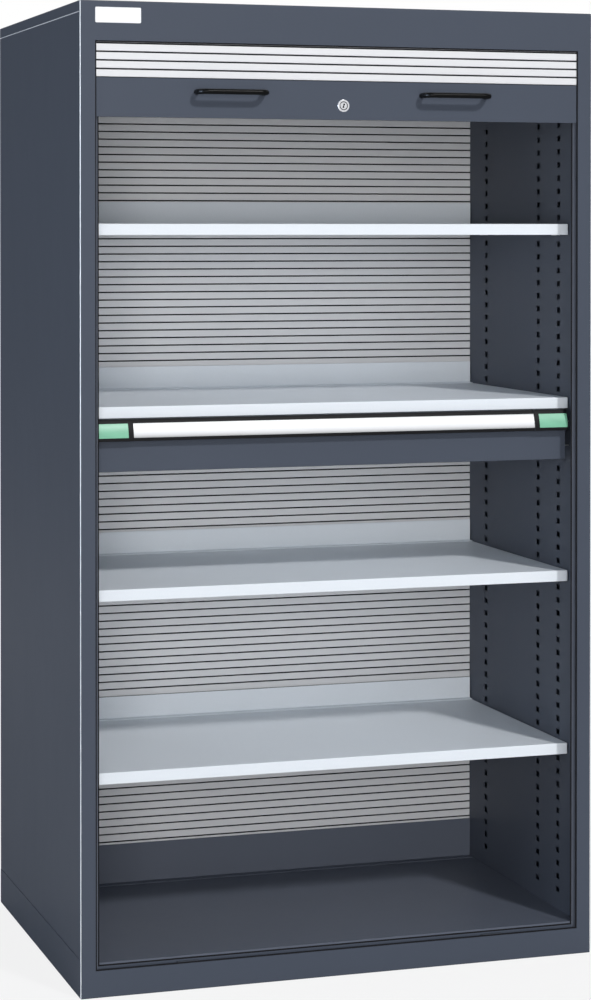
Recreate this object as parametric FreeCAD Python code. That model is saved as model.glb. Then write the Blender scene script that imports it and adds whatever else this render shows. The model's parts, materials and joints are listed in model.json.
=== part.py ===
"""Roll front tool cabinet: folded sheet steel carcass, slatted shutter, four shelves and a drawer.

X runs across the cabinet, Z up.  Places behind the front face are given as a depth, so a depth
of 0 is the front face and Y is the depth less half of the cabinet's depth.  The origin is the
middle of the footprint on the floor.  All sizes are in millimetres, angles in degrees.
"""
import FreeCAD, Part
import math
import os
from FreeCAD import Vector

# Carcass
WIDTH = 1005.0
DEPTH = 695.0
HEIGHT = 1800.0
CARCASS_SHEET = 1.5
POST_WIDTH = 28.5
SILL_HEIGHT = 49.0
HEADER_HEIGHT = 72.0
TOP_LIP = 19.5
BASE_HEIGHT = 70.5
SEAM_OVERLAP = 14.0
POST_FLANGE = 18.0
SILL_FLANGE = 30.0
BASE_FLANGE = 46.0
REAR_FLANGE = 20.0
ANCHOR_RADIUS = 5.5
ANCHOR_FROM_SIDE = 22.5
ANCHOR_FROM_FRONT = 60.0
CUT_PAST = 1.0
PANEL_SCREW_RADIUS = 2.0
PANEL_SCREW_HEAD = 4.0
PANEL_SCREWS_PER_SIDE = 5
BADGE_WIDTH = 85.0
BADGE_HEIGHT = 28.0
BADGE_SHEET = 1.0
BADGE_TOP_MARGIN = 12.0
BADGE_CORNER = 2.0

# Shutter curtain and its tracks
SLAT_PITCH = 15.5
SLAT_THICKNESS = 7.0
SLAT_GAP = 0.5
SLAT_TAPER = 1.25
SLAT_TONGUE = 1.0
SLAT_OVERHANG = 12.0
TRACK_SHEET = 1.5
TRACK_LINER = 1.0
TRACK_CLEARANCE = 0.4
ARCH_CLEARANCE = 0.9
TRACK_END_CLEARANCE = 2.5
ARCH_RADIUS = 42.0
ARCH_BELOW_TOP = 12.0
CURTAIN_FROM_BACK = 143.5
CURTAIN_TAIL_HEIGHT = 78.0
RIM_WIDTH = 6.5
RIM_HEIGHT = 5.5

# Interior
FLOOR_TOP = 60.5
FLOOR_FOLD = 20.0
KICK_HEIGHT = 79.5
WALL_SHEET = 1.0
WALL_SETBACK = 10.5
WALL_FOLD = 10.0
WALL_BELOW_ARCH = 10.0
SLOT_WIDTH = 16.0
SLOT_HEIGHT = 10.5
SLOT_PITCH = 25.7
FIRST_SLOT_HEIGHT = 100.0
SLOT_FRONT_DEPTH = 98.0
SLOT_MIDDLE_DEPTH = 194.0
SLOT_FROM_REAR_TRACK = 87.6
SHELF_FRONT_DEPTH = 47.0
SHELF_SHEET = 1.25
SHELF_LIP = 21.0
SHELF_END_GAP = 2.5
SHELF_REAR_GAP = 5.0
SHELF_ABOVE_SLOT = 13.5
SLOTS_PER_BAY = 13
SLOTS_BELOW_SHELVES = 11
SHELVES = 4
STOP_HEIGHT = 45.0
STOP_FOOT = 15.0
CLIP_SHEET = 1.6
CLIP_LEDGE = 12.0
CLIP_TAB = 6.0
FIT = 0.3

# Shutter bar, handles and lock
BAR_HEIGHT = 71.0
BAR_BELOW_HEADER = 66.0
BAR_SHEET = 1.5
BAR_REAR_DEPTH = 19.0
BAR_WING = 10.0
BAR_LOWER_FLANGE = 10.0
BAR_END_GAP = 4.5
BAR_LIP = 12.0
HANDLE_CENTRES = 128.0
HANDLE_SPACING = 439.0
HANDLE_ROD_RADIUS = 5.0
HANDLE_BEND_RADIUS = 14.0
HANDLE_REACH = 30.0
HANDLE_ABOVE_BAR_BOTTOM = 47.0
HANDLE_SCREW_RADIUS = 2.0
HANDLE_SCREW_HEAD = 3.8
HANDLE_SCREW_GRIP = 9.0
LOCK_ABOVE_BAR_BOTTOM = 26.0
LOCK_ROSETTE_RADIUS = 11.5
LOCK_ROSETTE_PROUD = 2.0
LOCK_BARREL_RADIUS = 9.0
LOCK_BARREL_LENGTH = 11.5
LOCK_PLUG_RADIUS = 6.5
LOCK_RUNNING_FIT = 0.05
LOCK_NUT_THICKNESS = 3.5
LOCK_NUT_RADIUS = 13.0
LOCK_CAM_THICKNESS = 2.0
LOCK_CAM_SCREW_RADIUS = 3.5
LOCK_CAM_SCREW_HEAD = 1.6
FINGER_INNER_RADIUS = 23.5
FINGER_OUTER_RADIUS = 28.5
FINGER_START_ANGLE = 110.0
FINGER_END_ANGLE = 200.0
FINGER_CLEARANCE = 1.0
KEYWAY_WIDTH = 1.6
KEYWAY_HEIGHT = 8.0
KEYWAY_LENGTH = 8.0
BUFFER_THICKNESS = 3.0
BUFFER_LENGTH = 40.0
BUFFER_SPACING = 600.0

# Drawer
DRAWER_HEIGHT = 96.5
DRAWER_GAP = 1.0
DRAWER_FRONT_DEPTH = 40.0
DRAWER_SIDE_GAP = 1.5
DRAWER_SHEET = 1.2
DRAWER_FOLD = 15.0
TRAY_REAR_GAP = 20.4
TRAY_BELOW_FRONT = 7.0
TRAY_ABOVE_BOTTOM = 4.0
SLIDE_WIDTH = 12.7
SLIDE_HEIGHT = 45.0
SLIDE_SHEET = 1.2
SLIDE_FRONT_DEPTH = 48.0
SLIDE_REAR_GAP = 42.6
SLIDE_ABOVE_BOTTOM = 49.0
BRACKET_SHEET = 1.5
GRIP_HEIGHT = 39.5
GRIP_SHEET = 3.0
GRIP_RADIUS = 86.0
GRIP_TOP_REACH = 4.0
GRIP_BOTTOM_REACH = 16.0
GRIP_CAP_WIDTH = 70.0
GRIP_CAP_SKIN = 1.0
LABEL_THICKNESS = 0.8
LABEL_SEAT = 0.2
LABEL_HEIGHT = 26.0
LABEL_BELOW_TOP = 7.5
INSERT_MARGIN = 4.0
GRIP_SCREWS = 4
GRIP_SCREW_RADIUS = 1.5
GRIP_SCREW_HEAD = 3.0

# Carcass planes
FRONT = -DEPTH / 2
HALF = WIDTH / 2
OPENING_HALF = HALF - POST_WIDTH
OPENING_TOP = HEIGHT - HEADER_HEIGHT
PANEL_INSIDE = HALF - CARCASS_SHEET
COVER_UNDERSIDE = HEIGHT - CARCASS_SHEET
BACK_INSIDE = DEPTH - 2 * CARCASS_SHEET

# Curtain planes
TRACK_FRONT = CARCASS_SHEET + TRACK_LINER
FRONT_CURTAIN_DEPTH = TRACK_FRONT + TRACK_CLEARANCE + SLAT_THICKNESS / 2
RIM_DEPTH = FRONT_CURTAIN_DEPTH + SLAT_THICKNESS / 2 + TRACK_CLEARANCE
RIM_BACK = RIM_DEPTH + TRACK_SHEET
RIM_HALF = OPENING_HALF - RIM_WIDTH
SLAT_HALF = OPENING_HALF + SLAT_OVERHANG
TRACK_WEB = SLAT_HALF + TRACK_END_CLEARANCE
TRACK_OUTSIDE = TRACK_WEB + TRACK_SHEET
CURTAIN_TOP = HEIGHT - ARCH_BELOW_TOP
ARCH_BASE = CURTAIN_TOP - ARCH_RADIUS
ARCH_HALF_GAP = SLAT_THICKNESS / 2 + ARCH_CLEARANCE
REAR_CURTAIN_DEPTH = DEPTH - CURTAIN_FROM_BACK
REAR_TRACK_FRONT = REAR_CURTAIN_DEPTH - ARCH_HALF_GAP - TRACK_SHEET

# Interior planes
WALL_HALF = RIM_HALF + WALL_SETBACK
WALL_TOP = ARCH_BASE - WALL_BELOW_ARCH
FLOOR_UNDERSIDE = FLOOR_TOP - CARCASS_SHEET
SLOT_ROWS = int((WALL_TOP - SLOT_PITCH - FIRST_SLOT_HEIGHT) / SLOT_PITCH)
SLOT_REAR_DEPTH = REAR_TRACK_FRONT - SLOT_FROM_REAR_TRACK
SHELF_HALF = WALL_HALF - SHELF_END_GAP
SHELF_REAR_DEPTH = REAR_TRACK_FRONT - SHELF_REAR_GAP

# Shutter bar planes
BAR_TOP = OPENING_TOP - BAR_BELOW_HEADER
FRONT_SLATS = int((ARCH_BASE - BAR_TOP) / SLAT_PITCH)
BAR_BOTTOM = BAR_TOP - BAR_HEIGHT
BAR_FRONT_DEPTH = TRACK_FRONT + TRACK_CLEARANCE
BAR_BACK_FACE = BAR_FRONT_DEPTH + BAR_SHEET
BAR_BODY_HALF = RIM_HALF - BAR_END_GAP
LOCK_HEIGHT = BAR_BOTTOM + LOCK_ABOVE_BAR_BOTTOM
LOCK_BARREL_BACK = BAR_FRONT_DEPTH + LOCK_BARREL_LENGTH
HANDLE_HEIGHT = BAR_BOTTOM + HANDLE_ABOVE_BAR_BOTTOM
SHUTTER_TRAVEL = BAR_BOTTOM - SILL_HEIGHT - BUFFER_THICKNESS - FIT

# Drawer planes
DRAWER_HALF = RIM_HALF - DRAWER_SIDE_GAP
DRAWER_UNDER_SHELF = SHELVES // 2


def slot_height(row):
    """Height of the middle of a row of wall slots, counted from the lowest."""
    return FIRST_SLOT_HEIGHT + row * SLOT_PITCH


def shelf_top(number):
    """Height of a shelf's upper face; shelf 1 is the highest."""
    return slot_height(SLOTS_BELOW_SHELVES + (SHELVES - number) * SLOTS_PER_BAY) + SHELF_ABOVE_SLOT


DRAWER_TOP = shelf_top(DRAWER_UNDER_SHELF) - SHELF_LIP - DRAWER_GAP
DRAWER_BOTTOM = DRAWER_TOP - DRAWER_HEIGHT
TRAY_HALF = DRAWER_HALF - SLIDE_WIDTH
TRAY_BOTTOM = DRAWER_BOTTOM + TRAY_ABOVE_BOTTOM
TRAY_TOP = DRAWER_TOP - TRAY_BELOW_FRONT
TRAY_FRONT_DEPTH = DRAWER_FRONT_DEPTH + DRAWER_SHEET
TRAY_REAR_DEPTH = SHELF_REAR_DEPTH - TRAY_REAR_GAP
SLIDE_REACH = (SLIDE_FRONT_DEPTH, SHELF_REAR_DEPTH - SLIDE_REAR_GAP)
SLIDE_HEIGHT_MIDDLE = DRAWER_BOTTOM + SLIDE_ABOVE_BOTTOM
GRIP_BOTTOM = DRAWER_TOP - GRIP_HEIGHT
GRIP_BODY_HALF = DRAWER_HALF - GRIP_CAP_WIDTH


def block(x, depth, z):
    """Box between two x values, two depths behind the front face and two heights."""
    corner = Vector(x[0], FRONT + depth[0], z[0])
    return Part.makeBox(x[1] - x[0], depth[1] - depth[0], z[1] - z[0], corner)


def round_bar(radius, x, depth, z):
    """Cylinder along the depth between two depths."""
    start = Vector(x, FRONT + depth[0], z)
    return Part.makeCylinder(radius, depth[1] - depth[0], start, Vector(0, 1, 0))


def fuse(*shapes):
    """One solid from touching shapes, without the seams between them."""
    return shapes[0].multiFuse(list(shapes[1:])).removeSplitter()


def mirrored(shape):
    """The same piece on the other side of the cabinet."""
    return shape.mirror(Vector(0, 0, 0), Vector(1, 0, 0))


def export(node, *solids):
    """Write one node, made of one or more solids."""
    shape = solids[0] if len(solids) == 1 else Part.makeCompound(list(solids))
    shape.exportStep("parts/" + node + ".step")


def export_pair(node, right):
    """Write a right-hand piece and its mirror image as two nodes."""
    export(node + "_right", right)
    export(node + "_left", mirrored(right))


# Carcass -----------------------------------------------------------------------------------

def front_post():
    """Right front post: face beside the opening and a flange behind the side panel's edge."""
    face = block((OPENING_HALF, HALF), (0, CARCASS_SHEET), (0, HEIGHT))
    flange = block((PANEL_INSIDE - CARCASS_SHEET, PANEL_INSIDE), (CARCASS_SHEET, POST_FLANGE),
                   (CARCASS_SHEET, COVER_UNDERSIDE))
    return fuse(face, flange)


def front_header():
    """Header over the opening with its fold under the top cover."""
    face = block((-OPENING_HALF, OPENING_HALF), (0, CARCASS_SHEET), (OPENING_TOP, HEIGHT))
    fold = block((-OPENING_HALF, OPENING_HALF), (CARCASS_SHEET, POST_FLANGE),
                 (COVER_UNDERSIDE - CARCASS_SHEET, COVER_UNDERSIDE))
    return fuse(face, fold)


def front_sill():
    """Sill under the opening: face, ledge the bar lands on, rim behind it and foot flange."""
    across = (-OPENING_HALF, OPENING_HALF)
    ledge_z = (SILL_HEIGHT - CARCASS_SHEET, SILL_HEIGHT)
    face = block(across, (0, CARCASS_SHEET), (0, SILL_HEIGHT))
    ledge = block(across, (CARCASS_SHEET, RIM_DEPTH), ledge_z)
    rim = block((-RIM_HALF, RIM_HALF), (RIM_DEPTH, RIM_BACK), (ledge_z[0], SILL_HEIGHT + RIM_HEIGHT))
    foot = block(across, (CARCASS_SHEET, SILL_FLANGE), (0, CARCASS_SHEET))
    return fuse(face, ledge, rim, foot)


def side_panel():
    """Right side panel with a rear flange and the joggle that the top cover's lip laps over."""
    panel = block((PANEL_INSIDE, HALF), (CARCASS_SHEET, DEPTH), (BASE_HEIGHT, HEIGHT - TOP_LIP))
    flange = block((HALF - REAR_FLANGE, PANEL_INSIDE), (DEPTH - CARCASS_SHEET, DEPTH),
                   (BASE_HEIGHT, HEIGHT - TOP_LIP))
    joggle = block((PANEL_INSIDE - CARCASS_SHEET, PANEL_INSIDE), (POST_FLANGE, BACK_INSIDE),
                   (HEIGHT - TOP_LIP - SEAM_OVERLAP, COVER_UNDERSIDE))
    return fuse(panel, flange, joggle).cut(Part.makeCompound(panel_screw_holes()))


def panel_screw_places():
    """X and height of each screw that holds the back panel."""
    low = BASE_HEIGHT + SEAM_OVERLAP + PANEL_SCREW_HEAD
    high = HEIGHT - TOP_LIP - SEAM_OVERLAP
    step = (high - low) / (PANEL_SCREWS_PER_SIDE - 1)
    x = HALF - REAR_FLANGE / 2
    return [(side * x, low + row * step) for side in (-1, 1) for row in range(PANEL_SCREWS_PER_SIDE)]


def panel_screw_holes():
    """Clearance holes through the side panels' rear flanges and the back panel."""
    depth = (BACK_INSIDE - CUT_PAST, DEPTH + CUT_PAST)
    return [round_bar(PANEL_SCREW_RADIUS, x, depth, z) for x, z in panel_screw_places()]


def back_panel():
    """Back panel inside the rear flanges of the side panels."""
    edge = PANEL_INSIDE - CARCASS_SHEET
    panel = block((-edge, edge), (BACK_INSIDE, DEPTH - CARCASS_SHEET),
                  (BASE_HEIGHT - SEAM_OVERLAP, COVER_UNDERSIDE))
    return panel.cut(Part.makeCompound(panel_screw_holes()))


def back_panel_screw(x, z):
    """Round-head screw from behind, through the flange and the back panel."""
    shank = round_bar(PANEL_SCREW_RADIUS, x, (BACK_INSIDE - PANEL_SCREW_HEAD, DEPTH), z)
    head = round_bar(PANEL_SCREW_HEAD, x, (DEPTH, DEPTH + PANEL_SCREW_RADIUS), z)
    return fuse(shank, head)


def top_cover():
    """Top cover with a lip down each side and across the back."""
    lip_z = (HEIGHT - TOP_LIP, COVER_UNDERSIDE)
    plate = block((-HALF, HALF), (CARCASS_SHEET, DEPTH), (COVER_UNDERSIDE, HEIGHT))
    right = block((PANEL_INSIDE, HALF), (CARCASS_SHEET, DEPTH), lip_z)
    rear = block((-HALF, HALF), (DEPTH - CARCASS_SHEET, DEPTH), lip_z)
    return fuse(plate, right, mirrored(right), rear)


def anchor_holes():
    """Four floor anchor holes through the feet of the base rails."""
    x, y = HALF - ANCHOR_FROM_SIDE, DEPTH / 2 - ANCHOR_FROM_FRONT
    return [Part.makeCylinder(ANCHOR_RADIUS, CARCASS_SHEET + 2 * CUT_PAST,
                              Vector(across * x, along * y, -CUT_PAST))
            for across in (-1, 1) for along in (-1, 1)]


def base_rail():
    """Right base rail: outer face, joggle behind the side panel's lower edge and foot flange."""
    face = block((PANEL_INSIDE, HALF), (CARCASS_SHEET, DEPTH), (0, BASE_HEIGHT))
    joggle = block((PANEL_INSIDE - CARCASS_SHEET, PANEL_INSIDE), (POST_FLANGE, BACK_INSIDE),
                   (BASE_HEIGHT - SEAM_OVERLAP, BASE_HEIGHT + SEAM_OVERLAP))
    foot = block((PANEL_INSIDE - BASE_FLANGE, PANEL_INSIDE), (SILL_FLANGE, DEPTH - BASE_FLANGE),
                 (0, CARCASS_SHEET))
    return fuse(face, joggle, foot).cut(Part.makeCompound(anchor_holes()))


def base_rail_back():
    """Rear base rail between the side rails, with its foot flange."""
    across = (-PANEL_INSIDE, PANEL_INSIDE)
    face = block(across, (DEPTH - CARCASS_SHEET, DEPTH), (0, BASE_HEIGHT))
    foot = block(across, (DEPTH - BASE_FLANGE, DEPTH - CARCASS_SHEET), (0, CARCASS_SHEET))
    return fuse(face, foot)


def badge_plate():
    """Blank name plate with rounded corners, on the header above the opening's left end."""
    plate = block((-OPENING_HALF, BADGE_WIDTH - OPENING_HALF), (-BADGE_SHEET, 0),
                  (HEIGHT - BADGE_TOP_MARGIN - BADGE_HEIGHT, HEIGHT - BADGE_TOP_MARGIN))
    corners = [edge for edge in plate.Edges if abs(edge.tangentAt(0).y) > 0.9]
    return plate.makeFillet(BADGE_CORNER, corners)


# Curtain and tracks ------------------------------------------------------------------------

def front_track():
    """Right front track: liner behind the post, outer web and the rim flange."""
    height = (SILL_HEIGHT, ARCH_BASE)
    liner = block((OPENING_HALF, TRACK_OUTSIDE), (CARCASS_SHEET, TRACK_FRONT), height)
    web = block((TRACK_WEB, TRACK_OUTSIDE), (TRACK_FRONT, RIM_DEPTH), height)
    rim = block((RIM_HALF, TRACK_OUTSIDE), (RIM_DEPTH, RIM_BACK), height)
    return fuse(liner, web, rim)


def rear_track():
    """Right rear track: channel whose front flange sits behind the inner wall's rear edge."""
    height = (FLOOR_TOP, ARCH_BASE)
    back = REAR_CURTAIN_DEPTH + ARCH_HALF_GAP
    front = block((WALL_HALF, TRACK_OUTSIDE), (REAR_TRACK_FRONT, REAR_TRACK_FRONT + TRACK_SHEET),
                  height)
    web = block((TRACK_WEB, TRACK_OUTSIDE), (REAR_TRACK_FRONT + TRACK_SHEET, back), height)
    rear = block((WALL_HALF, TRACK_OUTSIDE), (back, back + TRACK_SHEET), height)
    return fuse(front, web, rear)


def arch(offset, x):
    """Solid under the curtain's arch, its outline moved outwards by an offset."""
    radius = ARCH_RADIUS + offset
    front, rear = FRONT_CURTAIN_DEPTH - offset, REAR_CURTAIN_DEPTH + offset
    top, bend = CURTAIN_TOP + offset, radius * (1 - math.sqrt(0.5))
    points = [Vector(x[0], FRONT + depth, z) for depth, z in (
        (front, ARCH_BASE), (front + bend, top - bend), (front + radius, top),
        (rear - radius, top), (rear - bend, top - bend), (rear, ARCH_BASE))]
    edges = [Part.Arc(*points[0:3]).toShape(), Part.makeLine(points[2], points[3]),
             Part.Arc(*points[3:6]).toShape(), Part.makeLine(points[5], points[0])]
    return Part.Face(Part.Wire(edges)).extrude(Vector(x[1] - x[0], 0, 0))


def arch_track():
    """Right track over the top: outer web with an upper and a lower flange."""
    outside, inside = ARCH_HALF_GAP + TRACK_SHEET, -ARCH_HALF_GAP - TRACK_SHEET
    flange_x = (WALL_HALF, TRACK_OUTSIDE)
    upper = arch(outside, flange_x).cut(arch(ARCH_HALF_GAP, flange_x))
    lower = arch(-ARCH_HALF_GAP, flange_x).cut(arch(inside, flange_x))
    web_x = (TRACK_WEB, TRACK_OUTSIDE)
    web = arch(outside, web_x).cut(arch(inside, web_x))
    behind_post = block(flange_x, (0, CARCASS_SHEET), (ARCH_BASE, HEIGHT))
    return fuse(upper, lower, web).cut(behind_post)


def slat_blank():
    """One slat standing upright at the origin, its outer side towards the front.

    The inner side is narrower so that slats can close up round the arch.  A half-round tongue
    on the upper edge sits in the groove in the next slat's lower edge.
    """
    outer, inner = -SLAT_THICKNESS / 2, SLAT_THICKNESS / 2
    high = (SLAT_PITCH - SLAT_GAP) / 2
    narrow = high - SLAT_TAPER
    tongue_y = outer / 2
    groove = SLAT_TONGUE + TRACK_CLEARANCE

    def at(y, z):
        return Vector(-SLAT_HALF, y, z)

    edges = [Part.makeLine(at(outer, -high), at(outer, high)),
             Part.makeLine(at(outer, high), at(tongue_y - SLAT_TONGUE, high)),
             Part.Arc(at(tongue_y - SLAT_TONGUE, high), at(tongue_y, high + SLAT_TONGUE),
                      at(tongue_y + SLAT_TONGUE, high)).toShape(),
             Part.makeLine(at(tongue_y + SLAT_TONGUE, high), at(0, high)),
             Part.makeLine(at(0, high), at(inner, narrow)),
             Part.makeLine(at(inner, narrow), at(inner, -narrow)),
             Part.makeLine(at(inner, -narrow), at(0, -high)),
             Part.makeLine(at(0, -high), at(tongue_y + groove, -high)),
             Part.Arc(at(tongue_y + groove, -high), at(tongue_y, groove - high),
                      at(tongue_y - groove, -high)).toShape(),
             Part.makeLine(at(tongue_y - groove, -high), at(outer, -high))]
    return Part.Face(Part.Wire(edges)).extrude(Vector(2 * SLAT_HALF, 0, 0))


def curtain_place(distance):
    """Depth, height and turn of the curtain at a distance along its path from the bar's top."""
    quarter = ARCH_RADIUS * math.pi / 2
    flat = REAR_CURTAIN_DEPTH - FRONT_CURTAIN_DEPTH - 2 * ARCH_RADIUS
    rise = ARCH_BASE - BAR_TOP
    if distance <= rise:
        return FRONT_CURTAIN_DEPTH, BAR_TOP + distance, 0.0
    distance -= rise
    if distance <= quarter:
        angle = distance / ARCH_RADIUS
        depth = FRONT_CURTAIN_DEPTH + ARCH_RADIUS * (1 - math.cos(angle))
        return depth, ARCH_BASE + ARCH_RADIUS * math.sin(angle), math.degrees(angle)
    distance -= quarter
    if distance <= flat:
        return FRONT_CURTAIN_DEPTH + ARCH_RADIUS + distance, CURTAIN_TOP, 90.0
    distance -= flat
    if distance <= quarter:
        angle = distance / ARCH_RADIUS
        depth = REAR_CURTAIN_DEPTH - ARCH_RADIUS * (1 - math.sin(angle))
        return depth, ARCH_BASE + ARCH_RADIUS * math.cos(angle), 90.0 + math.degrees(angle)
    return REAR_CURTAIN_DEPTH, ARCH_BASE - (distance - quarter), 180.0


def slat(number, blank):
    """One slat of the curtain, counted from the bar."""
    depth, height, turn = curtain_place((number + 0.5) * SLAT_PITCH)
    piece = blank.copy()
    piece.rotate(Vector(0, 0, 0), Vector(1, 0, 0), -turn)
    piece.translate(Vector(0, FRONT + depth, height))
    return piece


def curtain_slats():
    """The curtain in three runs: above the bar, over the top, and down the back."""
    blank = slat_blank()
    front = [slat(number, blank) for number in range(FRONT_SLATS)]
    over_top, back = [], []
    number = FRONT_SLATS
    while True:
        depth, height, turn = curtain_place((number + 0.5) * SLAT_PITCH)
        if turn == 180.0 and height - SLAT_PITCH / 2 < CURTAIN_TAIL_HEIGHT:
            return front, over_top, back
        (back if turn == 180.0 else over_top).append(slat(number, blank))
        number += 1


# Interior ----------------------------------------------------------------------------------

def floor_plate():
    """Floor with a front fold behind the sill's rim, side folds and the lock finger's slot."""
    plate = block((-WALL_HALF, WALL_HALF), (RIM_BACK, BACK_INSIDE), (FLOOR_UNDERSIDE, FLOOR_TOP))
    rear = block((-TRACK_OUTSIDE, TRACK_OUTSIDE), (REAR_TRACK_FRONT, BACK_INSIDE),
                 (FLOOR_UNDERSIDE, FLOOR_TOP))
    fold_z = (FLOOR_TOP - FLOOR_FOLD, FLOOR_UNDERSIDE)
    front = block((-WALL_HALF, WALL_HALF), (RIM_BACK, RIM_BACK + CARCASS_SHEET), fold_z)
    side = block((WALL_HALF - CARCASS_SHEET, WALL_HALF), (RIM_BACK, REAR_TRACK_FRONT), fold_z)
    drop = LOCK_HEIGHT - SHUTTER_TRAVEL - FLOOR_TOP
    plate = fuse(plate, rear, front, side, mirrored(side))
    return plate.cut(finger_slot(drop, CARCASS_SHEET, FLOOR_TOP))


def rear_kick_panel():
    """Kick panel across the back, in front of the curtain's tail."""
    depth = (REAR_TRACK_FRONT - CARCASS_SHEET, REAR_TRACK_FRONT)
    fold = (REAR_TRACK_FRONT - FLOOR_FOLD, REAR_TRACK_FRONT - CARCASS_SHEET)
    across = (-WALL_HALF, WALL_HALF)
    face = block(across, depth, (FLOOR_TOP, FLOOR_TOP + KICK_HEIGHT))
    foot = block(across, fold, (FLOOR_TOP, FLOOR_TOP + CARCASS_SHEET))
    return fuse(face, foot)


def inner_wall():
    """Right inner wall with folds against both tracks and three columns of slots."""
    height = (FLOOR_TOP, WALL_TOP)
    web = block((WALL_HALF, WALL_HALF + WALL_SHEET), (RIM_BACK, REAR_TRACK_FRONT), height)
    fold_x = (WALL_HALF + WALL_SHEET, WALL_HALF + WALL_FOLD)
    front = block(fold_x, (RIM_BACK, RIM_BACK + WALL_SHEET), height)
    rear = block(fold_x, (REAR_TRACK_FRONT - WALL_SHEET, REAR_TRACK_FRONT), height)
    slots = [block((WALL_HALF - CUT_PAST, WALL_HALF + WALL_SHEET + CUT_PAST),
                   (depth - SLOT_WIDTH / 2, depth + SLOT_WIDTH / 2),
                   (slot_height(row) - SLOT_HEIGHT / 2, slot_height(row) + SLOT_HEIGHT / 2))
             for depth in (SLOT_FRONT_DEPTH, SLOT_MIDDLE_DEPTH, SLOT_REAR_DEPTH)
             for row in range(SLOT_ROWS)]
    return fuse(web, front, rear).cut(Part.makeCompound(slots))


def shelf(number):
    """Shelf folded down along its front, sides and back."""
    top = shelf_top(number)
    across, reach = (-SHELF_HALF, SHELF_HALF), (SHELF_FRONT_DEPTH, SHELF_REAR_DEPTH)
    outside = block(across, reach, (top - SHELF_LIP, top))
    inside = block((across[0] + SHELF_SHEET, across[1] - SHELF_SHEET),
                   (reach[0] + SHELF_SHEET, reach[1] - SHELF_SHEET),
                   (top - SHELF_LIP, top - SHELF_SHEET))
    return outside.cut(inside)


def shelf_back_stop(number):
    """Upstand along a shelf's rear edge, with a foot on the shelf."""
    top = shelf_top(number)
    across = (-SHELF_HALF, SHELF_HALF)
    plate = block(across, (SHELF_REAR_DEPTH - SHELF_SHEET, SHELF_REAR_DEPTH), (top, top + STOP_HEIGHT))
    foot = block(across, (SHELF_REAR_DEPTH - STOP_FOOT, SHELF_REAR_DEPTH - SHELF_SHEET),
                 (top, top + SHELF_SHEET))
    return fuse(plate, foot)


def shelf_clip(number, depth):
    """Right shelf clip: a tab in a wall slot and a ledge under the shelf's side fold."""
    reach = (depth - SLOT_WIDTH / 2 + FIT, depth + SLOT_WIDTH / 2 - FIT)
    middle = shelf_top(number) - SHELF_ABOVE_SLOT
    seat = shelf_top(number) - SHELF_LIP
    tab_z = (middle - SLOT_HEIGHT / 2 + FIT, middle + SLOT_HEIGHT / 2 - FIT)
    plate = block((WALL_HALF - CLIP_SHEET, WALL_HALF), reach, (seat - CLIP_SHEET, tab_z[1]))
    tab = block((WALL_HALF, WALL_HALF + CLIP_TAB), reach, tab_z)
    ledge = block((WALL_HALF - CLIP_LEDGE, WALL_HALF), reach, (seat - CLIP_SHEET, seat))
    return fuse(plate, tab, ledge)


# Shutter bar -------------------------------------------------------------------------------

def shutter_bar():
    """End bar of the shutter: folded channel whose face runs behind both posts."""
    wing = OPENING_HALF + BAR_WING
    body = (-BAR_BODY_HALF, BAR_BODY_HALF)
    reach = (BAR_BACK_FACE, BAR_REAR_DEPTH)
    lower = BAR_BOTTOM + BAR_LOWER_FLANGE
    face = block((-wing, wing), (BAR_FRONT_DEPTH, BAR_BACK_FACE), (BAR_BOTTOM, BAR_TOP))
    top = block(body, reach, (BAR_TOP - BAR_SHEET, BAR_TOP))
    bottom = block(body, reach, (lower, lower + BAR_SHEET))
    lip = block(body, (BAR_REAR_DEPTH - BAR_SHEET, BAR_REAR_DEPTH),
                (BAR_TOP - BAR_LIP, BAR_TOP - BAR_SHEET))
    through = (BAR_FRONT_DEPTH - CUT_PAST, BAR_BACK_FACE + CUT_PAST)
    holes = [round_bar(HANDLE_SCREW_RADIUS + FIT, x, through, HANDLE_HEIGHT) for x in handle_feet()]
    holes.append(round_bar(LOCK_BARREL_RADIUS + LOCK_RUNNING_FIT, 0, through, LOCK_HEIGHT))
    drop = LOCK_HEIGHT - lower - BAR_SHEET
    holes.append(finger_slot(drop, BAR_SHEET, lower + BAR_SHEET))
    return fuse(face, top, bottom, lip).cut(Part.makeCompound(holes))


def bar_glide():
    """Right plastic glide behind the bar's wing, running in the front track."""
    x = (RIM_HALF + TRACK_SHEET, SLAT_HALF)
    depth = (BAR_BACK_FACE, FRONT_CURTAIN_DEPTH + SLAT_THICKNESS / 2)
    return block(x, depth, (BAR_BOTTOM, BAR_TOP))


def handle_feet():
    """X of the four handle legs."""
    return [side * HANDLE_SPACING / 2 + end * HANDLE_CENTRES / 2 for side in (-1, 1) for end in (-1, 1)]


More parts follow.
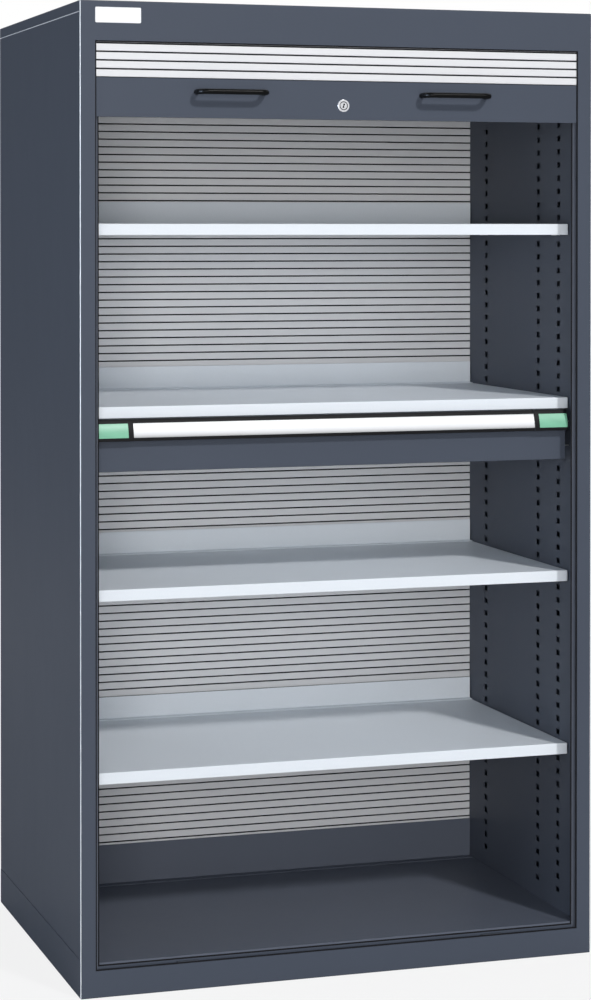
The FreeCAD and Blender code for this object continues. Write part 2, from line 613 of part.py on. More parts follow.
def bar_handle(side):
    """Bow handle bent from round rod, with a threaded hole up each leg."""
    middle = side * HANDLE_SPACING / 2
    left, right = middle - HANDLE_CENTRES / 2, middle + HANDLE_CENTRES / 2
    foot, bow = BAR_FRONT_DEPTH, BAR_FRONT_DEPTH - HANDLE_REACH
    bend, sag = HANDLE_BEND_RADIUS, HANDLE_BEND_RADIUS * (1 - math.sqrt(0.5))

    def at(x, depth):
        return Vector(x, FRONT + depth, HANDLE_HEIGHT)

    edges = [Part.makeLine(at(left, foot), at(left, bow + bend)),
             Part.Arc(at(left, bow + bend), at(left + sag, bow + sag), at(left + bend, bow)).toShape(),
             Part.makeLine(at(left + bend, bow), at(right - bend, bow)),
             Part.Arc(at(right - bend, bow), at(right - sag, bow + sag), at(right, bow + bend)).toShape(),
             Part.makeLine(at(right, bow + bend), at(right, foot))]
    section = Part.Wire(Part.makeCircle(HANDLE_ROD_RADIUS, at(left, foot), Vector(0, 1, 0)))
    rod = Part.Wire(edges).makePipeShell([section], True, False)
    depth = (foot - HANDLE_SCREW_GRIP, foot + CUT_PAST)
    holes = [round_bar(HANDLE_SCREW_RADIUS, x, depth, HANDLE_HEIGHT) for x in (left, right)]
    return rod.cut(Part.makeCompound(holes))


def handle_screw(x):
    """Screw from inside the bar into a handle's leg."""
    shank = round_bar(HANDLE_SCREW_RADIUS, x, (BAR_FRONT_DEPTH - HANDLE_SCREW_GRIP, BAR_BACK_FACE),
                      HANDLE_HEIGHT)
    head = round_bar(HANDLE_SCREW_HEAD, x, (BAR_BACK_FACE, BAR_BACK_FACE + HANDLE_SCREW_RADIUS),
                     HANDLE_HEIGHT)
    return fuse(shank, head)


def sill_buffer():
    """Right rubber buffer on the sill's ledge, where the bar lands."""
    x = (BUFFER_SPACING / 2 - BUFFER_LENGTH / 2, BUFFER_SPACING / 2 + BUFFER_LENGTH / 2)
    return block(x, (TRACK_FRONT, RIM_DEPTH - FIT), (SILL_HEIGHT, SILL_HEIGHT + BUFFER_THICKNESS))


# Lock --------------------------------------------------------------------------------------

def lock_polar(radius, degrees, depth):
    """Point round the lock's axis, seen from the front."""
    angle = math.radians(degrees)
    return Vector(radius * math.cos(angle), FRONT + depth, LOCK_HEIGHT + radius * math.sin(angle))


def finger_slot(drop, sheet, top):
    """Slot where the lock's curved finger crosses a level sheet below the lock's axis."""
    left = math.sqrt(FINGER_OUTER_RADIUS ** 2 - drop ** 2) + FINGER_CLEARANCE
    right = math.sqrt(FINGER_INNER_RADIUS ** 2 - (drop + sheet) ** 2) - FINGER_CLEARANCE
    depth = (LOCK_BARREL_BACK - FINGER_CLEARANCE,
             LOCK_BARREL_BACK + FIT + LOCK_CAM_THICKNESS + FINGER_CLEARANCE)
    return block((-left, -right), depth, (top - sheet - CUT_PAST, top + CUT_PAST))


def lock_housing():
    """Lock housing: rosette in front of the bar and the barrel through it."""
    rosette = round_bar(LOCK_ROSETTE_RADIUS, 0, (BAR_FRONT_DEPTH - LOCK_ROSETTE_PROUD, BAR_FRONT_DEPTH),
                        LOCK_HEIGHT)
    barrel = round_bar(LOCK_BARREL_RADIUS, 0, (BAR_FRONT_DEPTH, LOCK_BARREL_BACK), LOCK_HEIGHT)
    bore = round_bar(LOCK_PLUG_RADIUS + LOCK_RUNNING_FIT, 0,
                     (BAR_FRONT_DEPTH - LOCK_ROSETTE_PROUD - CUT_PAST, LOCK_BARREL_BACK + CUT_PAST),
                     LOCK_HEIGHT)
    return fuse(rosette, barrel).cut(bore)


def lock_nut():
    """Hexagonal nut that clamps the housing behind the bar's face."""
    corners = [lock_polar(LOCK_NUT_RADIUS, 60 * step, BAR_BACK_FACE) for step in range(7)]
    prism = Part.Face(Part.makePolygon(corners)).extrude(Vector(0, LOCK_NUT_THICKNESS, 0))
    through = (BAR_BACK_FACE - CUT_PAST, BAR_BACK_FACE + LOCK_NUT_THICKNESS + CUT_PAST)
    return prism.cut(round_bar(LOCK_BARREL_RADIUS + LOCK_RUNNING_FIT, 0, through, LOCK_HEIGHT))


def lock_plug():
    """Plug with a keyway, turning in the housing; its square end carries the cam."""
    front = BAR_FRONT_DEPTH - LOCK_ROSETTE_PROUD
    plug = round_bar(LOCK_PLUG_RADIUS, 0, (front, LOCK_BARREL_BACK + FIT), LOCK_HEIGHT)
    keyway = block((-KEYWAY_WIDTH / 2, KEYWAY_WIDTH / 2), (front - CUT_PAST, front + KEYWAY_LENGTH),
                   (LOCK_HEIGHT - KEYWAY_HEIGHT / 2, LOCK_HEIGHT + KEYWAY_HEIGHT / 2))
    return plug.cut(keyway)


def lock_cam():
    """Cam behind the barrel: a hub, an arm and the curved finger that hooks under the floor."""
    depth = LOCK_BARREL_BACK + FIT
    thick = Vector(0, LOCK_CAM_THICKNESS, 0)
    start, end = FINGER_START_ANGLE, FINGER_END_ANGLE
    middle = (start + end) / 2
    outer = [lock_polar(FINGER_OUTER_RADIUS, degrees, depth) for degrees in (start, middle, end)]
    inner = [lock_polar(FINGER_INNER_RADIUS, degrees, depth) for degrees in (end, middle, start)]
    finger = Part.Face(Part.Wire([Part.Arc(*outer).toShape(), Part.makeLine(outer[2], inner[0]),
                                  Part.Arc(*inner).toShape(), Part.makeLine(inner[2], outer[0])]))
    spread = math.degrees(LOCK_PLUG_RADIUS / FINGER_OUTER_RADIUS)
    arm = [lock_polar(FINGER_OUTER_RADIUS - FINGER_CLEARANCE, start, depth),
           lock_polar(FINGER_INNER_RADIUS, start + spread, depth),
           lock_polar(LOCK_PLUG_RADIUS, start + 90, depth), lock_polar(LOCK_PLUG_RADIUS, start - 90, depth)]
    arm.append(arm[0])
    hub = round_bar(LOCK_BARREL_RADIUS, 0, (depth, depth + LOCK_CAM_THICKNESS), LOCK_HEIGHT)
    return fuse(hub, finger.extrude(thick), Part.Face(Part.makePolygon(arm)).extrude(thick))


def lock_cam_screw():
    """Head of the screw that holds the cam on the plug."""
    depth = LOCK_BARREL_BACK + FIT + LOCK_CAM_THICKNESS
    return round_bar(LOCK_CAM_SCREW_RADIUS, 0, (depth, depth + LOCK_CAM_SCREW_HEAD), LOCK_HEIGHT)


# Drawer ------------------------------------------------------------------------------------

def drawer_front():
    """Drawer front panel folded back along its top and bottom, with holes for the grip."""
    across = (-DRAWER_HALF, DRAWER_HALF)
    depth = (DRAWER_FRONT_DEPTH, TRAY_FRONT_DEPTH)
    fold = (TRAY_FRONT_DEPTH, TRAY_FRONT_DEPTH + DRAWER_FOLD)
    face = block(across, depth, (DRAWER_BOTTOM, DRAWER_TOP))
    top = block(across, fold, (DRAWER_TOP - DRAWER_SHEET, DRAWER_TOP))
    bottom = block(across, fold, (DRAWER_BOTTOM, DRAWER_BOTTOM + DRAWER_SHEET))
    return fuse(face, top, bottom).cut(Part.makeCompound(grip_screw_holes()))


def drawer_tray():
    """Tray bottom with its front and rear walls folded up, between the welded side walls."""
    across = (DRAWER_SHEET - TRAY_HALF, TRAY_HALF - DRAWER_SHEET)
    front = (TRAY_FRONT_DEPTH, TRAY_FRONT_DEPTH + DRAWER_SHEET)
    rear = (TRAY_REAR_DEPTH - DRAWER_SHEET, TRAY_REAR_DEPTH)
    wall_z = (TRAY_BOTTOM + DRAWER_SHEET, TRAY_TOP)
    bottom = block(across, (front[0], rear[1]), (TRAY_BOTTOM, wall_z[0]))
    tray = fuse(bottom, block(across, front, wall_z), block(across, rear, wall_z))
    return tray.cut(Part.makeCompound(grip_screw_holes()))


def tray_side():
    """Right side wall of the tray, welded to its bottom and carrying the inner slide member."""
    return block((TRAY_HALF - DRAWER_SHEET, TRAY_HALF), (TRAY_FRONT_DEPTH, TRAY_REAR_DEPTH),
                 (TRAY_BOTTOM, TRAY_TOP))


def grip_screw_places():
    """X of each grip screw, spread along the grip's body."""
    step = 2 * GRIP_BODY_HALF / GRIP_SCREWS
    return [step * (number + 0.5) - GRIP_BODY_HALF for number in range(GRIP_SCREWS)]


GRIP_SCREW_HEIGHT = TRAY_TOP - 2 * GRIP_SCREW_HEAD
GRIP_PAD_BOTTOM = GRIP_SCREW_HEIGHT - GRIP_SCREW_HEAD


def grip_screw_holes():
    """Holes for the grip screws, through the front panel and the tray's front wall."""
    depth = (DRAWER_FRONT_DEPTH - GRIP_SHEET, TRAY_FRONT_DEPTH + DRAWER_SHEET + CUT_PAST)
    return [round_bar(GRIP_SCREW_RADIUS, x, depth, GRIP_SCREW_HEIGHT) for x in grip_screw_places()]


def grip_screw(x):
    """Screw from inside the tray into the grip's back flange."""
    inside = TRAY_FRONT_DEPTH + DRAWER_SHEET
    shank = round_bar(GRIP_SCREW_RADIUS, x, (DRAWER_FRONT_DEPTH - GRIP_SHEET, inside), GRIP_SCREW_HEIGHT)
    head = round_bar(GRIP_SCREW_HEAD, x, (inside, inside + GRIP_SCREW_RADIUS), GRIP_SCREW_HEIGHT)
    return fuse(shank, head)


def grip_axis():
    """Depth and height of the axis that the grip's curved front is drawn round."""
    top = (DRAWER_FRONT_DEPTH - GRIP_TOP_REACH, DRAWER_TOP)
    bottom = (DRAWER_FRONT_DEPTH - GRIP_BOTTOM_REACH, GRIP_BOTTOM)
    across, up = bottom[0] - top[0], bottom[1] - top[1]
    chord = math.hypot(across, up)
    inward = math.sqrt(GRIP_RADIUS ** 2 - chord ** 2 / 4)
    return ((top[0] + bottom[0]) / 2 - up / chord * inward,
            (top[1] + bottom[1]) / 2 + across / chord * inward)


def grip_layer(x, inner, outer, z):
    """Curved plate between two distances from the grip's base curve, and two heights."""
    depth, height = grip_axis()
    start, along = Vector(x[0], FRONT + depth, height), Vector(1, 0, 0)
    ring = Part.makeCylinder(GRIP_RADIUS + outer, x[1] - x[0], start, along).cut(
        Part.makeCylinder(GRIP_RADIUS + inner, x[1] - x[0], start, along))
    return ring.common(block(x, (DRAWER_FRONT_DEPTH - 2 * GRIP_BOTTOM_REACH, DRAWER_FRONT_DEPTH), z))


def grip_back(x, sheet):
    """Top flange and back flange that seat a grip piece against the front panel."""
    top = block(x, (DRAWER_FRONT_DEPTH - GRIP_TOP_REACH, DRAWER_FRONT_DEPTH),
                (DRAWER_TOP - sheet, DRAWER_TOP))
    back = block(x, (DRAWER_FRONT_DEPTH - GRIP_SHEET, DRAWER_FRONT_DEPTH), (GRIP_PAD_BOTTOM, DRAWER_TOP))
    return top, back


def drawer_grip():
    """Full-width pull: a curved plate with a finger space behind its lower edge."""
    x = (-GRIP_BODY_HALF, GRIP_BODY_HALF)
    plate = grip_layer(x, -GRIP_SHEET, 0, (GRIP_BOTTOM, DRAWER_TOP))
    return fuse(plate, *grip_back(x, GRIP_SHEET)).cut(Part.makeCompound(grip_screw_holes()))


def grip_label():
    """Label strip on the pull, between the end caps."""
    top = DRAWER_TOP - LABEL_BELOW_TOP
    x = (-GRIP_BODY_HALF, GRIP_BODY_HALF)
    return grip_layer(x, LABEL_SEAT, LABEL_SEAT + LABEL_THICKNESS, (top - LABEL_HEIGHT, top))


def grip_cap():
    """Right end cap of the pull."""
    x = (GRIP_BODY_HALF, DRAWER_HALF)
    plate = grip_layer(x, -GRIP_SHEET, GRIP_CAP_SKIN, (GRIP_BOTTOM, DRAWER_TOP))
    return fuse(plate, *grip_back(x, GRIP_SHEET))


def cap_insert():
    """Coloured insert on the right end cap."""
    top = DRAWER_TOP - LABEL_BELOW_TOP
    x = (GRIP_BODY_HALF + INSERT_MARGIN, DRAWER_HALF - INSERT_MARGIN / 2)
    seat = GRIP_CAP_SKIN + LABEL_SEAT
    return grip_layer(x, seat, seat + LABEL_THICKNESS, (top - LABEL_HEIGHT, top))


def slide_channel(web_x, flange_x, half_height):
    """Channel along the depth: an upright web and two level flanges."""
    low, high = SLIDE_HEIGHT_MIDDLE - half_height, SLIDE_HEIGHT_MIDDLE + half_height
    return fuse(block(web_x, SLIDE_REACH, (low, high)),
                block(flange_x, SLIDE_REACH, (high - SLIDE_SHEET, high)),
                block(flange_x, SLIDE_REACH, (low, low + SLIDE_SHEET)))


def slide_outer():
    """Right fixed slide member, open towards the drawer."""
    x = DRAWER_HALF
    return slide_channel((x - SLIDE_SHEET, x), (TRAY_HALF + SLIDE_SHEET, x - SLIDE_SHEET), SLIDE_HEIGHT / 2)


def slide_middle():
    """Right intermediate slide member inside the fixed one."""
    x = DRAWER_HALF - SLIDE_SHEET - FIT
    return slide_channel((x - SLIDE_SHEET, x), (TRAY_HALF + SLIDE_SHEET + FIT, x - SLIDE_SHEET),
                         SLIDE_HEIGHT / 2 - SLIDE_SHEET - FIT)


def slide_inner():
    """Right slide member on the tray's side, open towards the wall."""
    outer_edge = DRAWER_HALF - 2 * (SLIDE_SHEET + FIT)
    return slide_channel((TRAY_HALF, TRAY_HALF + SLIDE_SHEET), (TRAY_HALF + SLIDE_SHEET, outer_edge - FIT),
                         SLIDE_HEIGHT / 2 - 2 * (SLIDE_SHEET + FIT))


def slide_bracket():
    """Right bracket between the inner wall and the fixed slide member."""
    half = SLIDE_HEIGHT / 2 + BRACKET_SHEET
    low, high = SLIDE_HEIGHT_MIDDLE - half, SLIDE_HEIGHT_MIDDLE + half
    web = block((DRAWER_HALF, DRAWER_HALF + BRACKET_SHEET), SLIDE_REACH, (low, high))
    legs = [block((DRAWER_HALF + BRACKET_SHEET, WALL_HALF), SLIDE_REACH, (z, z + BRACKET_SHEET))
            for z in (low, high - BRACKET_SHEET)]
    return fuse(web, *legs)


# Nodes -------------------------------------------------------------------------------------

def export_carcass():
    """Write the carcass."""
    export_pair("front_post", front_post())
    export("front_header", front_header())
    export("front_sill", front_sill())
    export_pair("side_panel", side_panel())
    export("back_panel", back_panel())
    export("back_panel_screws", *[back_panel_screw(x, z) for x, z in panel_screw_places()])
    export("top_cover", top_cover())
    export_pair("base_rail", base_rail())
    export("base_rail_back", base_rail_back())
    export("badge_plate", badge_plate())


def export_curtain():
    """Write the tracks and the curtain."""
    for node, right in (("front_tracks", front_track()), ("rear_tracks", rear_track()),
                        ("arch_tracks", arch_track())):
        export(node, right, mirrored(right))
    for node, slats in zip(("slats_front", "slats_over_top", "slats_back"), curtain_slats()):
        export(node, *slats)


def export_interior():
    """Write the floor, walls and shelves."""
    export("floor_plate", floor_plate())
    export("rear_kick_panel", rear_kick_panel())
    export_pair("inner_wall", inner_wall())
    clips = []
    for number in range(1, SHELVES + 1):
        export("shelf_%d" % number, shelf(number))
        export("shelf_back_stop_%d" % number, shelf_back_stop(number))
        clips += [shelf_clip(number, depth) for depth in (SLOT_FRONT_DEPTH, SLOT_REAR_DEPTH)]
    export("shelf_clips", *clips, *[mirrored(clip) for clip in clips])


def export_shutter_bar():
    """Write the shutter bar with its handles and lock, and the buffers it lands on."""
    export("shutter_bar", shutter_bar())
    export("bar_glides", bar_glide(), mirrored(bar_glide()))
    export("bar_handle_left", bar_handle(-1))
    export("bar_handle_right", bar_handle(1))
    export("handle_screws", *[handle_screw(x) for x in handle_feet()])
    export("sill_buffers", sill_buffer(), mirrored(sill_buffer()))
    export("lock_housing", lock_housing())
    export("lock_nut", lock_nut())
    export("lock_plug", lock_plug())
    export("lock_cam", lock_cam())
    export("lock_cam_screw", lock_cam_screw())


def export_drawer():
    """Write the drawer and its slides."""
    export("drawer_front", drawer_front())
    export("drawer_tray", drawer_tray())
    export_pair("tray_side", tray_side())
    export("drawer_grip", drawer_grip())
    export("grip_screws", *[grip_screw(x) for x in grip_screw_places()])
    export("grip_label", grip_label())
    for node, right in (("grip_caps", grip_cap()), ("grip_cap_inserts", cap_insert()),
                        ("slide_outers", slide_outer()), ("slide_middles", slide_middle()),
                        ("slide_inners", slide_inner()), ("slide_brackets", slide_bracket())):
        export(node, right, mirrored(right))


def main():
    """Write every node of the cabinet."""
    os.makedirs("parts", exist_ok=True)
    export_carcass()
    export_curtain()
    export_interior()
    export_shutter_bar()
    export_drawer()
    print("shutter travel %.1f, shelves at %s" % (
        SHUTTER_TRAVEL, [round(shelf_top(number), 1) for number in range(1, SHELVES + 1)]))


main()
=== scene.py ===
"""Looks of the roll front tool cabinet: meshes, finishes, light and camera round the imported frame.

Places are in metres in the frame's axes: X across the cabinet, Y into it, Z up.  Sizes of the
pieces modelled here are fields in millimetres, turned into metres by MM.
"""
import itertools
import json
import logging
import math
from dataclasses import dataclass
from enum import Enum
from typing import Callable, Iterable, Optional, Sequence, Union

import bmesh
import bpy
from mathutils import Matrix, Vector

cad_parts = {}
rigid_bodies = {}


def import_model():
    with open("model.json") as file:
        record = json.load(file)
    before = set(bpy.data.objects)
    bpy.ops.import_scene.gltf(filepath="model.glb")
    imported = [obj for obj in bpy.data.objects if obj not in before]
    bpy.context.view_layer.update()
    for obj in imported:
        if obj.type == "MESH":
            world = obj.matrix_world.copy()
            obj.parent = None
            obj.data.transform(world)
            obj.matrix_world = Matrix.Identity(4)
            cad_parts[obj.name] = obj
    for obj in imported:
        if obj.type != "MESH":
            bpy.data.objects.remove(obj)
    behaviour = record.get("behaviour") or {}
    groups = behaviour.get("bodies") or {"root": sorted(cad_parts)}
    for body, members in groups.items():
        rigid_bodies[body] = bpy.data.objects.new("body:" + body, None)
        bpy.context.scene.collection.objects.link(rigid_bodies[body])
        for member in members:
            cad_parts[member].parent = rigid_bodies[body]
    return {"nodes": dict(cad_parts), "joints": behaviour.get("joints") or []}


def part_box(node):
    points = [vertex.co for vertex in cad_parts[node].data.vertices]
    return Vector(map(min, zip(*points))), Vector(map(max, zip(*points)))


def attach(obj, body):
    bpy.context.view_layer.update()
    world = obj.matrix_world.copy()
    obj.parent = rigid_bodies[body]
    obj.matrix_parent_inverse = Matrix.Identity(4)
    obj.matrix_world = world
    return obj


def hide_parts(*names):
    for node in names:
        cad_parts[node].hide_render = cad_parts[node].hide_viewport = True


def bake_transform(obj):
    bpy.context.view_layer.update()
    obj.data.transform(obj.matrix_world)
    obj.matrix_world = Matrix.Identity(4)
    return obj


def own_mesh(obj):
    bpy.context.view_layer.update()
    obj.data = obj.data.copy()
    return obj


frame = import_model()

MM = 0.001
NEAR = 1e-5
# Least part of a normal along the way that its face looks.
FACING = 0.9
# Rounding of cut and of folded edges of sheet, in millimetres.
CUT_EDGE = 0.3
FOLD_EDGE = 0.35
RIGHT = Vector((1.0, 0.0, 0.0))
REARWARD = Vector((0.0, 1.0, 0.0))
FORWARD = Vector((0.0, -1.0, 0.0))
UP = Vector((0.0, 0.0, 1.0))
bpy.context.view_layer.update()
CAD_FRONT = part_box("front_header")[0].y

log = logging.getLogger("cabinet")
Colour = tuple[float, float, float]


# Modelling helpers -------------------------------------------------------------------------

class Axis(Enum):
    """Axis that a folded sheet runs along, with the axes that its profile is drawn on."""

    ACROSS = (0, 1, 2)
    DEEP = (1, 0, 2)
    UPRIGHT = (2, 0, 1)

    def point(self, along: float, first: float, second: float) -> Vector:
        """Turn a place along the sheet and a profile point into a point of the frame.

        Args:
            along: Place along the sheet.
            first: Profile point on its first axis.
            second: Profile point on its second axis.

        Returns:
            The point.
        """
        place = Vector((0.0, 0.0, 0.0))
        place[self.value[0]], place[self.value[1]], place[self.value[2]] = along, first, second
        return place


class Bench:
    """Mesh modelling by operators: blanks, edit-mode steps and finishing modifiers."""

    def __init__(self, piece: bpy.types.Object) -> None:
        """Take a piece to work on.

        Args:
            piece: The object whose mesh is shaped.
        """
        self.piece = piece

    @staticmethod
    def clear() -> None:
        """Deselect every object."""
        for thing in bpy.context.view_layer.objects:
            thing.select_set(False)

    @classmethod
    def hold(cls, piece: bpy.types.Object) -> "Bench":
        """Select one piece alone and make it active.

        Args:
            piece: The piece.

        Returns:
            A bench that holds it.
        """
        cls.clear()
        piece.select_set(True)
        bpy.context.view_layer.objects.active = piece
        return cls(piece)

    @classmethod
    def block(cls, name: str, low: Sequence[float], high: Sequence[float]) -> "Bench":
        """Add a cube primitive between two corners.

        Args:
            name: Name of the new piece.
            low: Lowest corner, in metres.
            high: Highest corner, in metres.

        Returns:
            A bench that holds the new piece.
        """
        cls.clear()
        low, high = Vector(low), Vector(high)
        bpy.ops.mesh.primitive_cube_add(size=1, location=(low + high) / 2)
        return cls._named(name, high - low)

    @classmethod
    def sheet(cls, name: str, corner: Vector, first: Vector, second: Vector) -> "Bench":
        """Add a plane primitive as a parallelogram from a corner and its two sides.

        Args:
            name: Name of the new piece.
            corner: One corner, in metres.
            first: Side from that corner.
            second: Other side from that corner; the face looks along first x second.

        Returns:
            A bench that holds the new piece.
        """
        cls.clear()
        bpy.ops.mesh.primitive_plane_add(size=1)
        piece = bpy.context.object
        middle = corner + (first + second) / 2
        face = first.cross(second).normalized()
        piece.matrix_world = Matrix.Translation(middle) @ Matrix((
            (first.x, second.x, face.x, 0), (first.y, second.y, face.y, 0),
            (first.z, second.z, face.z, 0), (0, 0, 0, 1)))
        return cls._named(name, None)

    @classmethod
    def disc(cls, name: str, centre: Vector, radius: float, corners: int) -> "Bench":
        """Add a filled circle that looks towards the front of the cabinet.

        Args:
            name: Name of the new piece.
            centre: Its middle, in metres.
            radius: Its radius, in metres.
            corners: Number of its corners.

        Returns:
            A bench that holds the new piece.
        """
        cls.clear()
        bpy.ops.mesh.primitive_circle_add(vertices=corners, radius=radius, fill_type="NGON",
                                          location=centre, rotation=(math.pi / 2, 0, 0))
        return cls._named(name, None)

    @classmethod
    def _named(cls, name: str, scale: Optional[Vector]) -> "Bench":
        """Name the new primitive and apply its place to its mesh.

        Args:
            name: Its name.
            scale: Scale to give it first, if any.

        Returns:
            A bench that holds it.
        """
        piece = bpy.context.object
        piece.name = piece.data.name = name
        if scale is not None:
            piece.scale = scale
        bpy.ops.object.transform_apply(location=True, rotation=True, scale=True)
        return cls(piece)

    def faces(self, test: Callable[[Vector, Vector], bool]) -> None:
        """Select the faces whose middle and normal pass a test."""
        self._select("FACE", lambda face: test(face.calc_center_median(), face.normal))

    def edges(self, test: Callable[[Vector, Vector], bool]) -> None:
        """Select the edges whose two ends pass a test."""
        self._select("EDGE", lambda edge: test(edge.verts[0].co, edge.verts[1].co))

    def _select(self, mode: str, test: Callable[..., bool]) -> None:
        """Select in edit mode what passes a test, and nothing else.

        Args:
            mode: FACE or EDGE.
            test: Gets each face or edge of the mesh.
        """
        bpy.ops.object.mode_set(mode="EDIT")
        bpy.ops.mesh.select_mode(type=mode)
        bpy.ops.mesh.select_all(action="DESELECT")
        mesh = bmesh.from_edit_mesh(self.piece.data)
        mesh.normal_update()
        for element in mesh.faces if mode == "FACE" else mesh.edges:
            if test(element):
                element.select_set(True)
        mesh.select_flush_mode()
        bmesh.update_edit_mesh(self.piece.data)

    def everything(self) -> "Bench":
        """Select the whole mesh in edit mode.

        Returns:
            This bench.
        """
        bpy.ops.object.mode_set(mode="EDIT")
        bpy.ops.mesh.select_all(action="SELECT")
        return self

    def done(self) -> "Bench":
        """Leave edit mode."""
        bpy.ops.object.mode_set(mode="OBJECT")
        return self

    def extrude(self, move: Sequence[float]) -> None:
        """Extrude the selection by a vector."""
        bpy.ops.mesh.extrude_region_move(TRANSFORM_OT_translate={"value": tuple(move)})

    def bevel(self, width: float, segments: int = 3, profile: float = 0.5) -> None:
        """Round the selected edges."""
        bpy.ops.mesh.bevel(offset=width, offset_type="OFFSET", segments=segments, profile=profile,
                           affect="EDGES", clamp_overlap=True)

    def cut(self, place: Vector, across: Vector) -> None:
        """Bisect the whole mesh by a plane."""
        self.everything()
        bpy.ops.mesh.bisect(plane_co=place, plane_no=across)

    def spin(self, centre: Vector, axis: Vector, angle: float, steps: int) -> None:
        """Sweep the selection right-handed round an axis; the operator counts the other way."""
        bpy.ops.mesh.spin(steps=steps, angle=-angle, center=centre, axis=axis)

    def paint(self, finish: "Finish") -> "Bench":
        """Give the selected faces a finish and leave edit mode.

        Args:
            finish: The finish.

        Returns:
            This bench.
        """
        skins = self.piece.data.materials
        if finish.value.name not in skins:
            skins.append(finish.skin())
        self.piece.active_material_index = skins.find(finish.value.name)
        bpy.ops.object.material_slot_assign()
        return self.done()

    def face_out(self, near: Vector, outward: Vector) -> "Bench":
        """Make all faces agree, with the face nearest a place looking outward.

        Args:
            near: The place.
            outward: Way in which the nearest face has to look.

        Returns:
            This bench.
        """
        self.everything()
        bpy.ops.mesh.remove_doubles(threshold=NEAR / 10)
        bpy.ops.mesh.select_all(action="SELECT")
        bpy.ops.mesh.normals_make_consistent(inside=False)
        mesh = bmesh.from_edit_mesh(self.piece.data)
        mesh.normal_update()
        nearest = min(mesh.faces, key=lambda face: (face.calc_center_median() - near).length)
        if nearest.normal.dot(outward) < 0:
            bpy.ops.mesh.flip_normals()
        return self.done()

    def modifier(self, kind: str, **settings: Union[float, str, bool, bpy.types.Object]) -> "Bench":
        """Add one modifier with its settings and apply it.

        Args:
            kind: Type of the modifier.
            settings: Its properties by name.

        Returns:
            This bench.
        """
        Bench.hold(self.piece)
        tool = self.piece.modifiers.new(kind.title(), kind)
        for name, value in settings.items():
            setattr(tool, name, value)
        bpy.ops.object.modifier_apply(modifier=tool.name)
        return self

    def thicken(self, sheet: float) -> "Bench":
        """Give a sheet its thickness behind its outer face."""
        return self.modifier("SOLIDIFY", thickness=sheet, offset=-1.0, use_even_offset=True)

    def ease(self, width: float, segments: int = 2, angle: float = 35.0) -> "Bench":
        """Round every edge sharper than an angle."""
        return self.modifier("BEVEL", width=width, segments=segments, limit_method="ANGLE",
                             angle_limit=math.radians(angle), use_clamp_overlap=True)

    def smooth(self, angle: float = 30.0) -> bpy.types.Object:
        """Shade the piece smoothly.

        Args:
            angle: Edges sharper than this many degrees stay sharp.

        Returns:
            The finished piece.
        """
        Bench.hold(self.piece)
        bpy.ops.object.shade_smooth_by_angle(angle=math.radians(angle))
        return self.weigh().piece

    def weigh(self) -> "Bench":
        """Let large faces set the shading at their corners."""
        return self.modifier("WEIGHTED_NORMAL", mode="FACE_AREA", weight=50, keep_sharp=True)

    def join(self, others: Iterable[bpy.types.Object]) -> "Bench":
        """Join other pieces into this one.

        Args:
            others: The pieces, which are used up.

        Returns:
            This bench.
        """
        Bench.hold(self.piece)
        for other in others:
            other.select_set(True)
        bpy.ops.object.join()
        return self


def folded_sheet(name: str, axis: Axis, profile: Sequence[tuple[float, float]],
                 span: tuple[float, float], sheet: float, bend: float) -> bpy.types.Object:
    """Fold a strip of sheet along a profile, with rounded bends.

    Args:
        name: Name of the new piece.
        axis: Axis that the bends run along.
        profile: Points of the outer face, in metres; the sheet lies on the left of the path.
        span: Where the strip starts and ends along the axis.
        sheet: Thickness of the sheet.
        bend: Outer radius of the bends.

    Returns:
        The folded piece.
    """
    points = [axis.point(span[0], *place) for place in profile]
    along = axis.point(span[1] - span[0], 0.0, 0.0)
    bench = Bench.sheet(name, points[0], along, points[1] - points[0])
    for start, end in zip(points[1:], points[2:]):
        bench.edges(lambda a, b, at=start: _on_line(a, b, at, along))
        bench.extrude(end - start)
    for corner in points[1:-1]:
        bench.edges(lambda a, b, at=corner: _on_line(a, b, at, along))
        bench.bevel(bend, 4)
    bench.done()
    first, second = points[0], points[1]
    middle = (first + second + along) / 2
    run = Vector(profile[1]) - Vector(profile[0])
    outward = axis.point(0.0, run.y, -run.x)
    bench.face_out(middle, outward)
    return bench.thicken(sheet).ease(min(FOLD_EDGE * MM, sheet / 4)).smooth()


def _on_line(a: Vector, b: Vector, at: Vector, along: Vector) -> bool:
    """Tell whether an edge lies on the line through a place along a direction."""
    way = along.normalized()
    return all((point - at - way * (point - at).dot(way)).length < NEAR for point in (a, b))


def eased_copy(node: str, width: float, segments: int = 2) -> bpy.types.Object:
    """Copy a solid's mesh as a piece with merged corners and rounded edges.

    Args:
        node: Name of the CAD node.
        width: Width of the rounding, in metres.
        segments: Steps in the rounding.

    Returns:
        The new piece, which still has to replace its node.
    """
    source = frame["nodes"][node]
    piece = bpy.data.objects.new(node + "_finished", source.data.copy())
    piece.data.materials.clear()
    bpy.context.scene.collection.objects.link(piece)
    bench = Bench.hold(piece)
    bench.everything()
    bpy.ops.mesh.remove_doubles(threshold=NEAR)
    bpy.ops.mesh.select_all(action="SELECT")
    bpy.ops.mesh.dissolve_limited(angle_limit=math.radians(0.5))
    bench.done()
    return bench.ease(width, segments).smooth(40.0)


def moved_copy(model: bpy.types.Object, name: str, move: Matrix) -> bpy.types.Object:
    """Copy a piece with its own mesh, moved to its place.

    Args:
        model: The piece to copy.
        name: Name of the copy.
        move: What its mesh is transformed by.

    Returns:
        The copy.
    """
    twin = bpy.data.objects.new(name, model.data.copy())
    twin.data.transform(move)
    bpy.context.scene.collection.objects.link(twin)
    return twin


